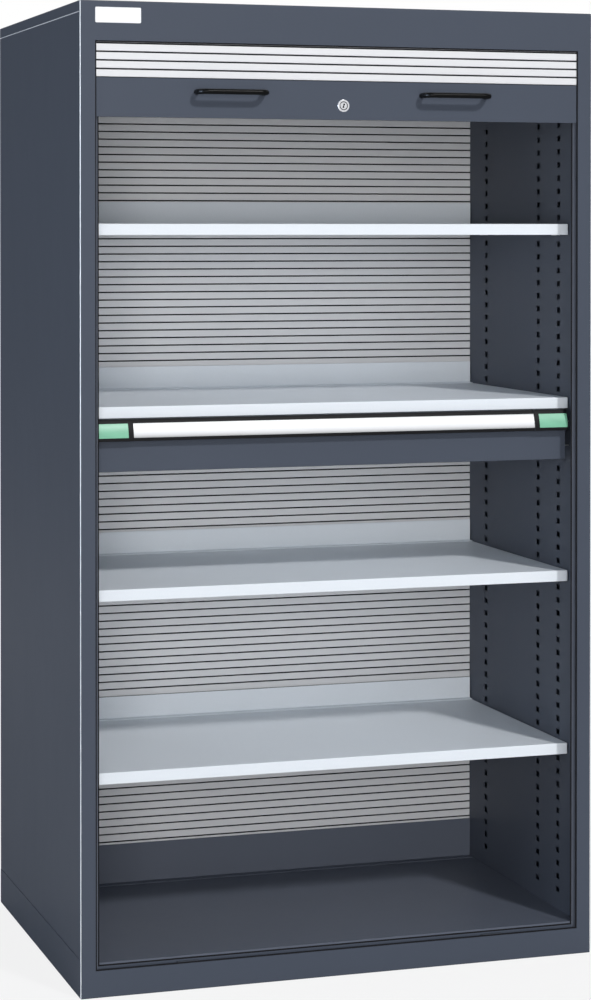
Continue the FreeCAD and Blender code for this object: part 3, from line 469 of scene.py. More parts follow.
def laid_out(model: bpy.types.Object, name: str, moves: Iterable[Matrix]) -> bpy.types.Object:
    """Copy a model to several places and join the copies into one piece.

    Args:
        model: The piece to copy.
        name: Name of the joined piece.
        moves: Where each copy goes.

    Returns:
        The joined piece.
    """
    twins = [moved_copy(model, "%s_%d" % (model.name, number), move)
             for number, move in enumerate(moves)]
    group = Bench.hold(twins[0]).join(twins[1:]).piece
    group.name = name
    return group


def mirror_copy(piece: bpy.types.Object) -> bpy.types.Object:
    """Copy a piece of the right side to the left, its faces turned outwards again.

    Args:
        piece: The piece, named for its side.

    Returns:
        The copy, named for its own side.
    """
    name = piece.name.replace("right", "left")
    bench = Bench.hold(moved_copy(piece, name, Matrix.Scale(-1, 4, RIGHT)))
    bpy.ops.mesh.customdata_custom_splitnormals_clear()
    bench.everything()
    bpy.ops.mesh.flip_normals()
    return bench.done().weigh().piece


def box_of(*nodes: str) -> tuple[Vector, Vector]:
    """Measure several CAD nodes together.

    Args:
        nodes: Names of the nodes.

    Returns:
        Their lowest and highest corner.
    """
    boxes = [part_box(node) for node in nodes]
    return (Vector([min(low[axis] for low, _ in boxes) for axis in range(3)]),
            Vector([max(high[axis] for _, high in boxes) for axis in range(3)]))


# Shader graph ------------------------------------------------------------------------------

class Socket:
    """Output socket of a shader node that takes part in Python arithmetic on values."""

    def __init__(self, graph: "Graph", socket: bpy.types.NodeSocket) -> None:
        """Wrap one output socket of a graph."""
        self.graph = graph
        self.socket = socket

    def pick(self, name: str) -> "Socket":
        """Another output of the same node."""
        return Socket(self.graph, self.socket.node.outputs[name])

    def _math(self, operation: str, first: "Value", second: "Value" = 0.0) -> "Socket":
        """Add a Math node."""
        return self.graph.node("Math", {"operation": operation}, {0: first, 1: second})

    def __add__(self, other: "Value") -> "Socket":
        """Sum with a value."""
        return self._math("ADD", self, other)

    def __sub__(self, other: "Value") -> "Socket":
        """Difference with a value."""
        return self._math("SUBTRACT", self, other)

    def __rsub__(self, other: "Value") -> "Socket":
        """Value less this."""
        return self._math("SUBTRACT", other, self)

    def __mul__(self, other: "Value") -> "Socket":
        """Product with a value."""
        return self._math("MULTIPLY", self, other)

    __radd__ = __add__
    __rmul__ = __mul__

    def __truediv__(self, other: "Value") -> "Socket":
        """Quotient by a value."""
        return self._math("DIVIDE", self, other)

    def apply(self, operation: str, other: "Value" = 0.0) -> "Socket":
        """Any other Math operation."""
        return self._math(operation, self, other)


Value = Union[Socket, float]


class Graph:
    """Node tree of one material or world, built by one method that adds a node."""

    def __init__(self, owner: Union[str, bpy.types.World]) -> None:
        """Start with an empty tree.

        Args:
            owner: Name of a new material, or the world whose tree is built.
        """
        self.owner = bpy.data.materials.new(owner) if isinstance(owner, str) else owner
        self.owner.use_nodes = True
        self.tree = self.owner.node_tree
        self.tree.nodes.clear()

    def node(self, kind: str, settings: Optional[dict] = None,
             inputs: Optional[dict] = None) -> Socket:
        """Add a node.

        Args:
            kind: Node type without the ShaderNode prefix.
            settings: Properties to set first.
            inputs: Value or link of each socket, by name or number.

        Returns:
            The node's first output, if it has one.
        """
        made = self.tree.nodes.new("ShaderNode" + kind)
        for name, value in (settings or {}).items():
            setattr(made, name, value)
        for name, value in (inputs or {}).items():
            self._feed(made.inputs[name], value)
        return Socket(self, made.outputs[0]) if made.outputs else None

    def _feed(self, target: bpy.types.NodeSocket, value: Union["Value", Sequence[float]]) -> None:
        """Link an input to another node's output or set its own value.

        Args:
            target: The input.
            value: Output, number, colour or vector.
        """
        if isinstance(value, Socket):
            self.tree.links.new(value.socket, target)
        elif isinstance(value, tuple) and target.type == "RGBA":
            target.default_value = (*value, 1.0)
        else:
            target.default_value = value

    def place(self) -> Socket:
        """Object coordinates, which are the frame's metres."""
        return self.node("TexCoord").pick("Object")

    def noise(self, scale: float, detail: float = 2.0, vector: Optional[Socket] = None,
              roughness: float = 0.5) -> Socket:
        """Noise of a scale per metre, from 0 to 1."""
        return self.node("TexNoise", {}, {"Vector": vector or self.place(), "Scale": scale,
                                          "Detail": detail, "Roughness": roughness})

    def stretched(self, scale: Sequence[float]) -> Socket:
        """Object coordinates with each axis scaled."""
        return self.node("Mapping", {}, {"Vector": self.place(), "Scale": tuple(scale)})

    def mix(self, factor: Value, first: Union[Socket, Colour],
            second: Union[Socket, Colour]) -> Socket:
        """Mix two colours by a factor.

        Args:
            factor: Share of the second colour.
            first: Colour at 0.
            second: Colour at 1.

        Returns:
            The mixed colour.
        """
        made = self.tree.nodes.new("ShaderNodeMix")
        made.data_type = "RGBA"
        colours = [socket for socket in made.inputs if socket.type == "RGBA"]
        for target, value in zip((made.inputs[0], *colours), (factor, first, second)):
            self._feed(target, value)
        return Socket(self, next(socket for socket in made.outputs if socket.type == "RGBA"))

    def spread(self, value: Socket, low: float, high: float) -> Socket:
        """Map a value from 0..1 to a range."""
        return value * (high - low) + low

    def bump(self, height: Socket, distance: float) -> Socket:
        """Bump from a height of a real distance in metres."""
        return self.node("Bump", {}, {"Height": height, "Distance": distance, "Strength": 1.0})

    def surface(self, **inputs: Union[Socket, float, Colour]) -> bpy.types.Material:
        """End the tree with the Principled shader and return the material.

        Args:
            inputs: The shader's sockets by name, with _ for a space.

        Returns:
            The finished material.
        """
        named = {name.replace("_", " "): value for name, value in inputs.items()}
        shader = self.node("BsdfPrincipled", {}, named)
        self.node("OutputMaterial", {}, {"Surface": shader})
        return self.owner


def shade(colour: Colour, factor: float) -> Colour:
    """Lighter or darker version of a colour."""
    return tuple(min(1.0, part * factor) for part in colour)


# Finishes ----------------------------------------------------------------------------------

@dataclass(frozen=True)
class Coating:
    """What each finish has: its material's name, its slot in the record and its colour."""

    name: str
    slot: str
    colour: Colour

    def material(self) -> bpy.types.Material:
        """Build the finish's material.

        Returns:
            The material, named for the finish.
        """
        raise NotImplementedError(self.name)


@dataclass(frozen=True)
class PowderCoat(Coating):
    """Fine textured powder coat on sheet steel."""

    roughness: float = 0.42
    cloud: float = 0.06
    pebble_height: float = 0.012
    specular: float = 0.25

    def material(self) -> bpy.types.Material:
        """Build the material: slow tone changes, fine pebbling and faint handling marks."""
        graph = Graph(self.name)
        cloud = graph.noise(2.2, 3.0)
        marks = graph.noise(16.0, 5.0, graph.stretched((1.0, 1.0, 0.35)), 0.6)
        speck = graph.noise(900.0, 1.0)
        tone = graph.mix(cloud, shade(self.colour, 1 - self.cloud), shade(self.colour, 1 + self.cloud))
        tone = graph.mix(graph.spread(speck, -0.3, 0.5).apply("MAXIMUM", 0.0) * 0.5, tone,
                         shade(self.colour, 1.35))
        rough = graph.spread(marks, self.roughness - 0.02, self.roughness + 0.03)
        height = graph.noise(420.0, 3.0) + graph.noise(1500.0, 1.0) * 0.4
        return graph.surface(Base_Color=tone, Roughness=rough, Metallic=0.0,
                             Specular_IOR_Level=self.specular,
                             Normal=graph.bump(height, self.pebble_height * MM))


@dataclass(frozen=True)
class SatinAluminium(Coating):
    """Anodised extrusions, drawn along their length."""

    roughness: float = 0.38
    metallic: float = 0.9
    pitch: float = 15.5

    def material(self) -> bpy.types.Material:
        """Build the material: lines along the draw and a slight tone from slat to slat."""
        graph = Graph(self.name)
        lines = graph.noise(60.0, 3.0, graph.stretched((0.05, 22.0, 22.0)), 0.7)
        cloud = graph.noise(3.0, 2.0)
        height = graph.node("SeparateXYZ", {}, {"Vector": graph.place()}).pick("Z")
        step = (height / (self.pitch * MM)).apply("FLOOR")
        batch = graph.node("TexWhiteNoise", {"noise_dimensions": "1D"}, {"W": step}).pick("Value")
        tone = graph.mix(lines, shade(self.colour, 0.94), shade(self.colour, 1.04))
        tone = graph.mix(graph.spread(batch, 0.0, 0.10), tone, shade(self.colour, 0.80))
        tone = graph.mix(graph.spread(cloud, 0.0, 0.12), tone, shade(self.colour, 0.85))
        rough = graph.spread(lines, self.roughness - 0.06, self.roughness + 0.08)
        return graph.surface(Base_Color=tone, Roughness=rough, Metallic=self.metallic,
                             Normal=graph.bump(lines, 0.004 * MM))


@dataclass(frozen=True)
class ZincPlate(Coating):
    """Bright zinc plating with faint spangle."""

    roughness: float = 0.32

    def material(self) -> bpy.types.Material:
        """Build the material: cells of slightly different tone and roughness."""
        graph = Graph(self.name)
        cells = graph.node("TexVoronoi", {}, {"Vector": graph.place(), "Scale": 240.0}).pick("Color")
        value = graph.node("SeparateColor", {}, {"Color": cells})
        haze = graph.noise(45.0, 4.0)
        tone = graph.mix(value, shade(self.colour, 0.88), self.colour)
        tone = graph.mix(haze * 0.3, tone, shade(self.colour, 0.75))
        rough = graph.spread(haze, self.roughness - 0.06, self.roughness + 0.12)
        return graph.surface(Base_Color=tone, Roughness=rough, Metallic=1.0,
                             Normal=graph.bump(graph.noise(700.0, 2.0), 0.004 * MM))


@dataclass(frozen=True)
class Moulding(Coating):
    """Injection moulded plastic with a fine spark-eroded grain."""

    roughness: float = 0.5
    grain: float = 0.008
    painted_sheen: float = 0.0
    specular: float = 0.5

    def material(self) -> bpy.types.Material:
        """Build the material: fine grain and, where asked, soft slanting bands of painted sheen."""
        graph = Graph(self.name)
        grain = graph.node("TexVoronoi", {}, {"Vector": graph.place(), "Scale": 1600.0})
        wear = graph.noise(30.0, 4.0)
        tone = graph.mix(wear, shade(self.colour, 0.92), shade(self.colour, 1.08))
        # Painted sheen: lighter slanting bands across the moulding.
        if self.painted_sheen:
            parts = graph.node("SeparateXYZ", {}, {"Vector": graph.place()})
            slant = parts.pick("X") * 55.0 + parts.pick("Z") * 130.0
            sheen_bands = graph.spread(slant.apply("SINE"), 0.0, 1.0).apply("ABSOLUTE")
            tone = graph.mix(sheen_bands * self.painted_sheen, tone, shade(self.colour, 1.22))
        rough = graph.spread(wear, self.roughness - 0.05, self.roughness + 0.08)
        return graph.surface(Base_Color=tone, Roughness=rough, Metallic=0.0,
                             Specular_IOR_Level=self.specular,
                             Normal=graph.bump(grain, self.grain * MM))


@dataclass(frozen=True)
class PrintedFilm(Coating):
    """Smooth white film or label stock."""

    roughness: float = 0.3
    # Middle and half height of the band outside which painted shade greys the film, in millimetres.
    middle: float = 0.0
    half: float = 0.0

    def material(self) -> bpy.types.Material:
        """Build the material: faint fibres and, where sized, painted shade that greys the film towards
        both edges.
        """
        graph = Graph(self.name)
        fibre = graph.noise(260.0, 4.0, graph.stretched((0.3, 1.0, 1.0)))
        cloud = graph.noise(12.0, 2.0)
        tone = graph.mix(fibre * 0.5 + cloud * 0.3, self.colour, shade(self.colour, 0.955))
        if self.half:
            # Painted shade: the film greys towards its upper and lower edge.
            height = graph.node("SeparateXYZ", {}, {"Vector": graph.place()}).pick("Z")
            away = ((height - self.middle * MM) / (self.half * MM)).apply("ABSOLUTE")
            tone = graph.mix(away.apply("POWER", 2.5) * 0.7, tone, shade(self.colour, 0.4))
        rough = graph.spread(fibre, self.roughness - 0.04, self.roughness + 0.06)
        return graph.surface(Base_Color=tone, Roughness=rough, Metallic=0.0,
                             Normal=graph.bump(fibre, 0.002 * MM))


@dataclass(frozen=True)
class PolishedMetal(Coating):
    """Polished and chromed die casting."""

    roughness: float = 0.16
    metallic: float = 1.0

    def material(self) -> bpy.types.Material:
        """Build the material: hairline turning marks and a few dull spots."""
        graph = Graph(self.name)
        spots = graph.noise(300.0, 4.0, None, 0.6)
        rings = graph.noise(2400.0, 2.0, graph.stretched((1.0, 0.02, 1.0)))
        tone = graph.mix(spots, shade(self.colour, 0.93), self.colour)
        rough = graph.spread(spots, self.roughness - 0.05, self.roughness + 0.12)
        return graph.surface(Base_Color=tone, Roughness=rough, Metallic=self.metallic,
                             Normal=graph.bump(rings, 0.001 * MM))


@dataclass(frozen=True)
class StudioFloor:
    """Pale seamless floor that keeps the cabinet's shadow."""

    name: str = "studio_floor"
    colour: Colour = (0.66, 0.66, 0.67)
    glow: float = 0.84

    def material(self) -> bpy.types.Material:
        """Build the material: matt pale grey, lifted to white where the camera sees it."""
        graph = Graph(self.name)
        tone = graph.mix(graph.noise(1.5, 2.0), self.colour, shade(self.colour, 0.985))
        matt = graph.node("BsdfDiffuse", {}, {"Color": tone, "Roughness": 0.3})
        white = graph.node("Emission", {}, {"Color": (1.0, 1.0, 1.0), "Strength": 1.0})
        seen = graph.node("LightPath")
        mixed = graph.node("MixShader", {}, {0: seen * self.glow, 1: matt, 2: white})
        graph.node("OutputMaterial", {}, {"Surface": mixed})
        return graph.owner


class Finish(Enum):
    """The cabinet's finishes."""

    CARCASS = PowderCoat("carcass_powder_coat", "carcass_paint", (0.067, 0.079, 0.105), specular=0.16)
    # Two copies of one interior paint: a lighter one as painted light on floor, kick panel and tracks, a
    # darker one as painted shade on the inner walls and arch tracks.
    INTERIOR_LIT = PowderCoat("interior_powder_coat", "interior_paint", (0.108, 0.122, 0.156), 0.48)
    WALL = PowderCoat("inner_wall_powder_coat", "interior_paint", (0.076, 0.088, 0.115), 0.52)
    SHELF = PowderCoat("shelf_powder_coat", "shelf_paint", (0.79, 0.835, 0.88), 0.50, 0.03, 0.006, 0.08)
    SLAT = SatinAluminium("satin_slat", "satin_aluminium", (0.77, 0.77, 0.78), 0.50, 0.05)
    # Near-black painted shade for the slat joints, the opening's edges, the lock's groove and its keyway.
    SHADE_BLACK = Moulding("hinge_seal", "black_plastic", (0.012, 0.012, 0.014), 0.7, 0.004, 0.0, 0.1)
    ZINC = ZincPlate("zinc_plate", "zinc_steel", (0.62, 0.63, 0.65))
    BLACK = Moulding("black_moulding", "black_plastic", (0.007, 0.007, 0.008), 0.45, 0.006, 0.0, 0.14)
    HANDLE = Moulding("handle_lacquer", "handle_black", (0.004, 0.004, 0.004), 0.34, 0.002, 0.0, 0.12)
    # The green inserts carry slanting bands of painted sheen.
    GREEN = Moulding("green_moulding", "green_plastic", (0.19, 0.49, 0.32), 0.35, 0.004, 0.3)
    # The label strip carries painted shade towards its upper and lower edge.
    LABEL = PrintedFilm("label_stock", "label_white", (0.93, 0.935, 0.94), 0.3, 1023.5, 12.9)
    BADGE = PrintedFilm("badge_film", "badge_white", (0.96, 0.965, 0.98), 0.22)
    RUBBER = Moulding("buffer_rubber", "rubber", (0.062, 0.070, 0.088), 0.8, 0.015, 0.0, 0.2)
    CHROME = PolishedMetal("polished_chrome", "lock_chrome", (0.90, 0.90, 0.91), 0.22, 0.35)
    # Pale copy of the carcass paint: a painted highlight along the front frame's outer vertical bends.
    BEND = PowderCoat("carcass_bend", "carcass_paint", (0.90, 0.93, 0.97), 0.30)

    def skin(self) -> bpy.types.Material:
        """The finish's material, built once."""
        return bpy.data.materials.get(self.value.name) or self.value.material()


def hand_over(piece: bpy.types.Object, finish: Finish, body: str, *nodes: str) -> None:
    """Dress a finished piece and let it ride on its body in place of its CAD nodes.

    Args:
        piece: The finished piece.
        finish: Its finish.
        body: Name of the body that it moves with.
        nodes: CAD nodes that it stands for.
    """
    if not piece.data.materials:
        piece.data.materials.append(finish.skin())
    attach(piece, body)
    if nodes:
        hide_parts(*nodes)
    log.info("%s: %s, rides on %s, %d faces", piece.name, finish.name.lower(), body,
             len(piece.data.polygons))


def hand_over_pair(right: bpy.types.Object, finish: Finish, body: str, *nodes: str) -> None:
    """Hand over a piece of the right side and its mirror image.

    Args:
        right: The finished piece, named for its side.
        finish: Finish of both pieces.
        body: Name of the body that they move with.
        nodes: CAD nodes of the right side, or nodes that have both sides in one.
    """
    left = mirror_copy(right)
    hand_over(right, finish, body, *nodes)
    hand_over(left, finish, body, *(node.replace("right", "left") for node in nodes if "right" in node))


def dress_nodes(finish: Finish, *nodes: str) -> None:
    """Give CAD nodes that stay visible their finish.

    Args:
        finish: The finish of all of them.
        nodes: Names of the CAD nodes.
    """
    for node in nodes:
        shown = frame["nodes"][node]
        if not shown.material_slots:
            shown.data.materials.append(finish.skin())
        for place in shown.material_slots:
            place.material = finish.skin()
        log.info("%s: %s, as packed", node, finish.name.lower())


def hand_over_eased(finish: Finish, body: str, width: float, *nodes: str) -> None:
    """Replace CAD nodes by copies with rounded edges."""
    for node in nodes:
        hand_over(eased_copy(node, width * MM), finish, body, node)


# Carcass -----------------------------------------------------------------------------------

@dataclass
class Carcass:
    """Outer shell: welded front frame, side panels, top cover, base rails and back panel."""

    sheet: float = 1.5
    corner: float = 2.5
    wrap: float = 4.0
    foot: float = 30.0
    seam: float = 0.9
    top_seam: float = 1.8
    rim_width: float = 6.5
    # Lip, depth and rounding of the rings of painted shade round the opening.
    seal_lip: float = 2.5
    seal_sheet: float = 0.9
    rear_flange: float = 20.0
    base_foot: float = 46.0
    lip: float = 19.5
    joggle: float = 14.0
    joggle_front: float = 14.0
    joggle_back: float = 4.0
    strip_depth: float = 1.4
    strip_inset: float = 0.2
    strip_round: float = 0.4
    shade_ring_round: float = 0.2
    buffer_gap: float = 0.3
    # Slant and forward lean of the normals on the bends that get the painted highlight.
    highlight_slant: tuple[float, float] = (0.3, 0.95)
    highlight_forward: float = 0.25
    screws_per_side: int = 5
    screw_corners: int = 20
    screw_head: float = 4.0
    screw_dome: float = 2.0
    screw_slope: float = 1.6
    recess_rim: float = 0.5
    recess: float = 1.2
    badge_corner: float = 2.0
    badge_border: float = 0.8
    badge_recess: float = 0.2
    badge_round: float = 0.12

    def __post_init__(self) -> None:
        """Read the carcass's outside and its opening from the frame."""
        self.low, self.high = box_of("front_post_left", "front_post_right", "top_cover", "base_rail_back")
        header_low, header_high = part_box("front_header")
        self.opening = (header_low.x, header_high.x)
        self.opening_top = header_low.z
        self.sill_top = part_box("sill_buffers")[0].z
        self.panel_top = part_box("side_panel_left")[1].z
        self.seam_top = self.high.z - self.lip * MM
        self.seam_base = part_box("base_rail_back")[1].z

    def build(self) -> None:
        """Model every piece of the carcass."""
        self.front_frame()
        self.sill_ledge()
        self.side_panels()
        self.seam_highlight_strips()
        self.shade_line_rings()
        self.top_cover()
        self.base_rails()
        self.panel_screws()
        self.badge()
        dress_nodes(Finish.CARCASS, "back_panel")

    def front_frame(self) -> None:
        """Posts, header and sill welded into one frame, its outer edges bent back."""
        front, wrap = self.low.y, self.wrap * MM
        corner = Vector((self.low.x, front, self.low.z))
        wide, tall = self.high.x - self.low.x, self.high.z - self.low.z
        bench = Bench.sheet("front_frame", corner, RIGHT * wide, UP * tall)
        for x in self.opening:
            bench.cut(Vector((x, front, 0)), RIGHT)
        for z in (self.sill_top, self.opening_top):
            bench.cut(Vector((0, front, z)), UP)
        left, right = self.opening
        bench.faces(lambda at, normal: left < at.x < right
                    and self.sill_top < at.z < self.opening_top)
        bpy.ops.mesh.delete(type="FACE")
        bench.edges(self._outer_edge)
        bench.extrude((0, wrap, 0))
        bench.edges(lambda a, b: self._outer_edge(a, b) or self._corner_edge(a, b))
        bench.bevel(self.corner * MM, 4)
        bench.edges(lambda a, b: max(a.z, b.z) < self.low.z + NEAR
                    and min(a.y, b.y) > front + wrap - NEAR
                    and max(abs(a.x), abs(b.x)) < right + NEAR)
        bench.extrude((0, (self.foot - self.wrap) * MM, 0))
        header = Vector((0, front, (self.opening_top + self.high.z) / 2))
        bench.done().face_out(header, FORWARD).thicken(self.sheet * MM).ease(CUT_EDGE * MM)
        bench.everything().paint(Finish.CARCASS)
        # Painted highlight: the outer vertical bends get a pale copy of the carcass paint.
        bench.faces(self._painted_highlight_face)
        bench.paint(Finish.BEND)
        hand_over(bench.smooth(), Finish.CARCASS, "cabinet", "front_post_left", "front_post_right",
                  "front_header")

    def _painted_highlight_face(self, at: Vector, normal: Vector) -> bool:
        """Tell whether a face lies on the bend between the frame's face and its side, where a highlight
        is painted.

        Args:
            at: Middle of the face.
            normal: Its normal.

        Returns:
            Whether it does.
        """
        slanting = self.highlight_slant[0] < abs(normal.x) < self.highlight_slant[1]
        outside = abs(at.x) > self.high.x - self.corner * MM
        return slanting and outside and normal.y < -self.highlight_forward

    def _outer_edge(self, a: Vector, b: Vector) -> bool:
        """Tell whether an edge runs round the frame's face on its outside.

        Args:
            a: One end of the edge.
            b: The other end.

        Returns:
            Whether it does.
        """
        middle = (a + b) / 2
        return (max(a.y, b.y) < self.low.y + NEAR
                and (min(middle.x - self.low.x, self.high.x - middle.x) < NEAR
                     or min(middle.z - self.low.z, self.high.z - middle.z) < NEAR))

    def _corner_edge(self, a: Vector, b: Vector) -> bool:
        """Tell whether an edge runs back from one of the frame's four outer corners."""
        return all(min(abs(p.x - self.low.x), abs(p.x - self.high.x)) < NEAR
                   and min(abs(p.z - self.low.z), abs(p.z - self.high.z)) < NEAR for p in (a, b))

    def sill_ledge(self) -> None:
        """Ledge behind the sill's upper edge, with the rim that stops dirt in front of the floor."""
        rim_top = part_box("front_sill")[1].z
        rim_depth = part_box("sill_buffers")[1].y + self.buffer_gap * MM
        front = self.low.y + self.sheet * MM
        rim_half = self.opening[1] - self.rim_width * MM
        corner = Vector((self.opening[0], front, self.sill_top))
        bench = Bench.sheet("sill_ledge", corner, RIGHT * (self.opening[1] - self.opening[0]),
                            REARWARD * (rim_depth - front))
        for x in (-rim_half, rim_half):
            bench.cut(Vector((x, front, self.sill_top)), RIGHT)
        bench.edges(lambda a, b: min(a.y, b.y) > rim_depth - NEAR
                    and max(abs(a.x), abs(b.x)) < rim_half + NEAR and abs(a.z - b.z) < NEAR)
        bench.extrude((0, 0, rim_top - self.sill_top))
        bench.done().face_out(Vector((0, (front + rim_depth) / 2, self.sill_top)), UP)
        bench.thicken(self.sheet * MM).ease(CUT_EDGE * MM)
        hand_over(bench.smooth(), Finish.CARCASS, "cabinet", "front_sill")

    def side_panels(self) -> None:
        """Side panels with their rear flanges and the joggles under the seams."""
        front, back = self.low.y + self.wrap * MM, self.high.y
        edge, flange = self.high.x, self.high.x - self.rear_flange * MM
        span = (self.seam_base + self.seam * MM, self.seam_top - self.top_seam * MM)
        right = folded_sheet("side_panel_right_outer", Axis.UPRIGHT,
                             [(edge, front), (edge, back), (flange, back)], span,
                             self.sheet * MM, self.corner * MM)
        inner = edge - 2 * self.sheet * MM
        deep = (front + self.joggle_front * MM, back - self.joggle_back * MM)
        strips = [Bench.block("joggle", (inner, deep[0], seam - self.joggle * MM),
                              (inner + self.sheet * MM, deep[1], seam + self.joggle * MM))
                  .ease(CUT_EDGE * MM).piece for seam in (self.seam_base, self.seam_top)]
        Bench(right).join(strips)
        hand_over_pair(right, Finish.CARCASS, "cabinet", "side_panel_right")

    def seam_highlight_strips(self) -> None:
        """Bright strips in the seams under the top cover, a painted highlight along each seam."""
        edge, front, gap = self.high.x, self.low.y + self.wrap * MM, self.top_seam * MM
        strip = Bench.block("seam_strip_right",
                            (edge - self.strip_depth * MM, front, self.seam_top - gap),
                            (edge - self.strip_inset * MM, self.high.y - self.corner * MM,
                             self.seam_top))
        # Painted highlight: a bright aluminium strip stands in each top seam.
        hand_over_pair(strip.ease(self.strip_round * MM, 3).smooth(), Finish.SLAT, "cabinet")

    def shade_line_rings(self) -> None:
        """Near-black rings of painted shade: one round the opening behind the frame, one along the
        tracks' rims.
        """
        track_high, sill_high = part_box("front_tracks")[1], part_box("front_sill")[1]
        sheet, rim_half = self.sheet * MM, self.opening[1] - self.rim_width * MM
        self.shade_ring("opening_seal", (*self.opening, self.sill_top, self.opening_top),
                       self.low.y + sheet, self.seal_sheet * MM)
        self.shade_ring("rim_seal", (-rim_half, rim_half, sill_high.z, track_high.z - MM),
                       track_high.y - sheet, sheet)

    def shade_ring(self, name: str, edges: tuple[float, float, float, float], front: float,
                  deep: float) -> None:
        """Flat ring of painted shade that stands inwards from four edges.

        Args:
            name: Name of the new piece.
            edges: Left, right, lower and upper edge of its outside.
            front: Place of its front face.
            deep: Its depth.
        """
        left, right, lower, upper = edges
        bench = Bench.sheet(name, Vector((left, front, lower)), RIGHT * (right - left),
                            UP * (upper - lower)).everything()
        bpy.ops.mesh.inset(thickness=self.seal_lip * MM)
        bpy.ops.mesh.delete(type="FACE")
        bench.done().face_out(Vector((0, front, lower)), FORWARD)
        hand_over(bench.thicken(deep).ease(self.shade_ring_round * MM).smooth(), Finish.SHADE_BLACK, "cabinet")

    def top_cover(self) -> None:
        """Top cover folded down along both sides and the back."""
        front = self.low.y + self.wrap * MM
        corner = Vector((self.low.x, front, self.high.z))
        bench = Bench.sheet("top_cover_outer", corner, RIGHT * (self.high.x - self.low.x),
                            REARWARD * (self.high.y - front))

        def rim(a: Vector, b: Vector) -> bool:
            """Tell whether an edge of the cover is one that is folded down."""
            return min(a.z, b.z) > self.high.z - NEAR and (a + b).y / 2 > front + NEAR

        bench.edges(rim)
        bench.extrude((0, 0, -self.lip * MM))
        bench.edges(lambda a, b: rim(a, b)
                    or (abs(a.z - b.z) > self.lip * MM / 2 and min(a.y, b.y) > self.high.y - NEAR))
        bench.bevel(self.corner * MM, 4)
        bench.done().face_out(Vector((0, 0, self.high.z)), UP)
        bench.thicken(self.sheet * MM).ease(FOLD_EDGE * MM)
        hand_over(bench.smooth(), Finish.CARCASS, "cabinet", "top_cover")

    def base_rails(self) -> None:
        """Rails round the base, with their feet on the floor."""
        front, back = self.low.y + self.wrap * MM, self.high.y
        edge, floor, top = self.high.x, self.low.z, self.seam_base - self.seam * MM / 2
        foot = edge - self.sheet * MM - self.base_foot * MM
        sheet, corner = self.sheet * MM, self.corner * MM
        right = folded_sheet("base_rail_right_outer", Axis.DEEP,
                             [(foot, floor), (edge, floor), (edge, top)], (front, back), sheet, corner)
        rear = folded_sheet("base_rail_back_outer", Axis.ACROSS,
                            [(back - self.base_foot * MM, floor), (back, floor), (back, top)],
                            (sheet - edge, edge - sheet), sheet, corner)
        hand_over_pair(right, Finish.CARCASS, "cabinet", "base_rail_right")
        hand_over(rear, Finish.CARCASS, "cabinet", "base_rail_back")

    def panel_screws(self) -> None:
        """Round-head screws with a driver recess, down both edges of the back panel."""
        low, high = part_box("back_panel_screws")
        head, dome = self.screw_head * MM, self.screw_dome * MM
        seat = Vector((0, high.y - dome, 0))
        bench = Bench.disc("panel_screw", seat, head, self.screw_corners).everything()
        bpy.ops.transform.rotate(value=math.pi, orient_axis="Z", center_override=seat)
        bench.extrude((0, dome, 0))
        bench.edges(lambda a, b: min(a.y, b.y) > high.y - NEAR)
        bench.bevel(self.screw_slope * MM, 4)
        bench.faces(lambda at, normal: normal.y > FACING and at.y > high.y - NEAR)
        bpy.ops.mesh.inset(thickness=self.recess_rim * MM)
        bench.extrude((0, -self.recess * MM, 0))
        model = bench.done().face_out(Vector((0, high.y, head)), REARWARD).smooth()
        step = (high.z - low.z - 2 * head) / (self.screws_per_side - 1)
        places = [Matrix.Translation((x, 0, low.z + head + row * step))
                  for x in (low.x + head, high.x - head) for row in range(self.screws_per_side)]
        group = laid_out(model, "panel_screw_set", places)
        bpy.data.objects.remove(model)
        hand_over(group, Finish.ZINC, "cabinet", "back_panel_screws")

    def badge(self) -> None:
        """Bare name plate: rounded corners and a fine raised border."""
        low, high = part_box("badge_plate")
        bench = Bench.block("name_plate", low, high)
        bench.edges(lambda a, b: abs(a.y - b.y) > NEAR)
        bench.bevel(self.badge_corner * MM, 5)
        bench.faces(lambda at, normal: normal.y < -FACING)
        bpy.ops.mesh.inset(thickness=self.badge_border * MM)
        bench.extrude((0, self.badge_recess * MM, 0))
        bench.done().ease(self.badge_round * MM)
        hand_over(bench.smooth(), Finish.BADGE, "cabinet", "badge_plate")


# Curtain -----------------------------------------------------------------------------------

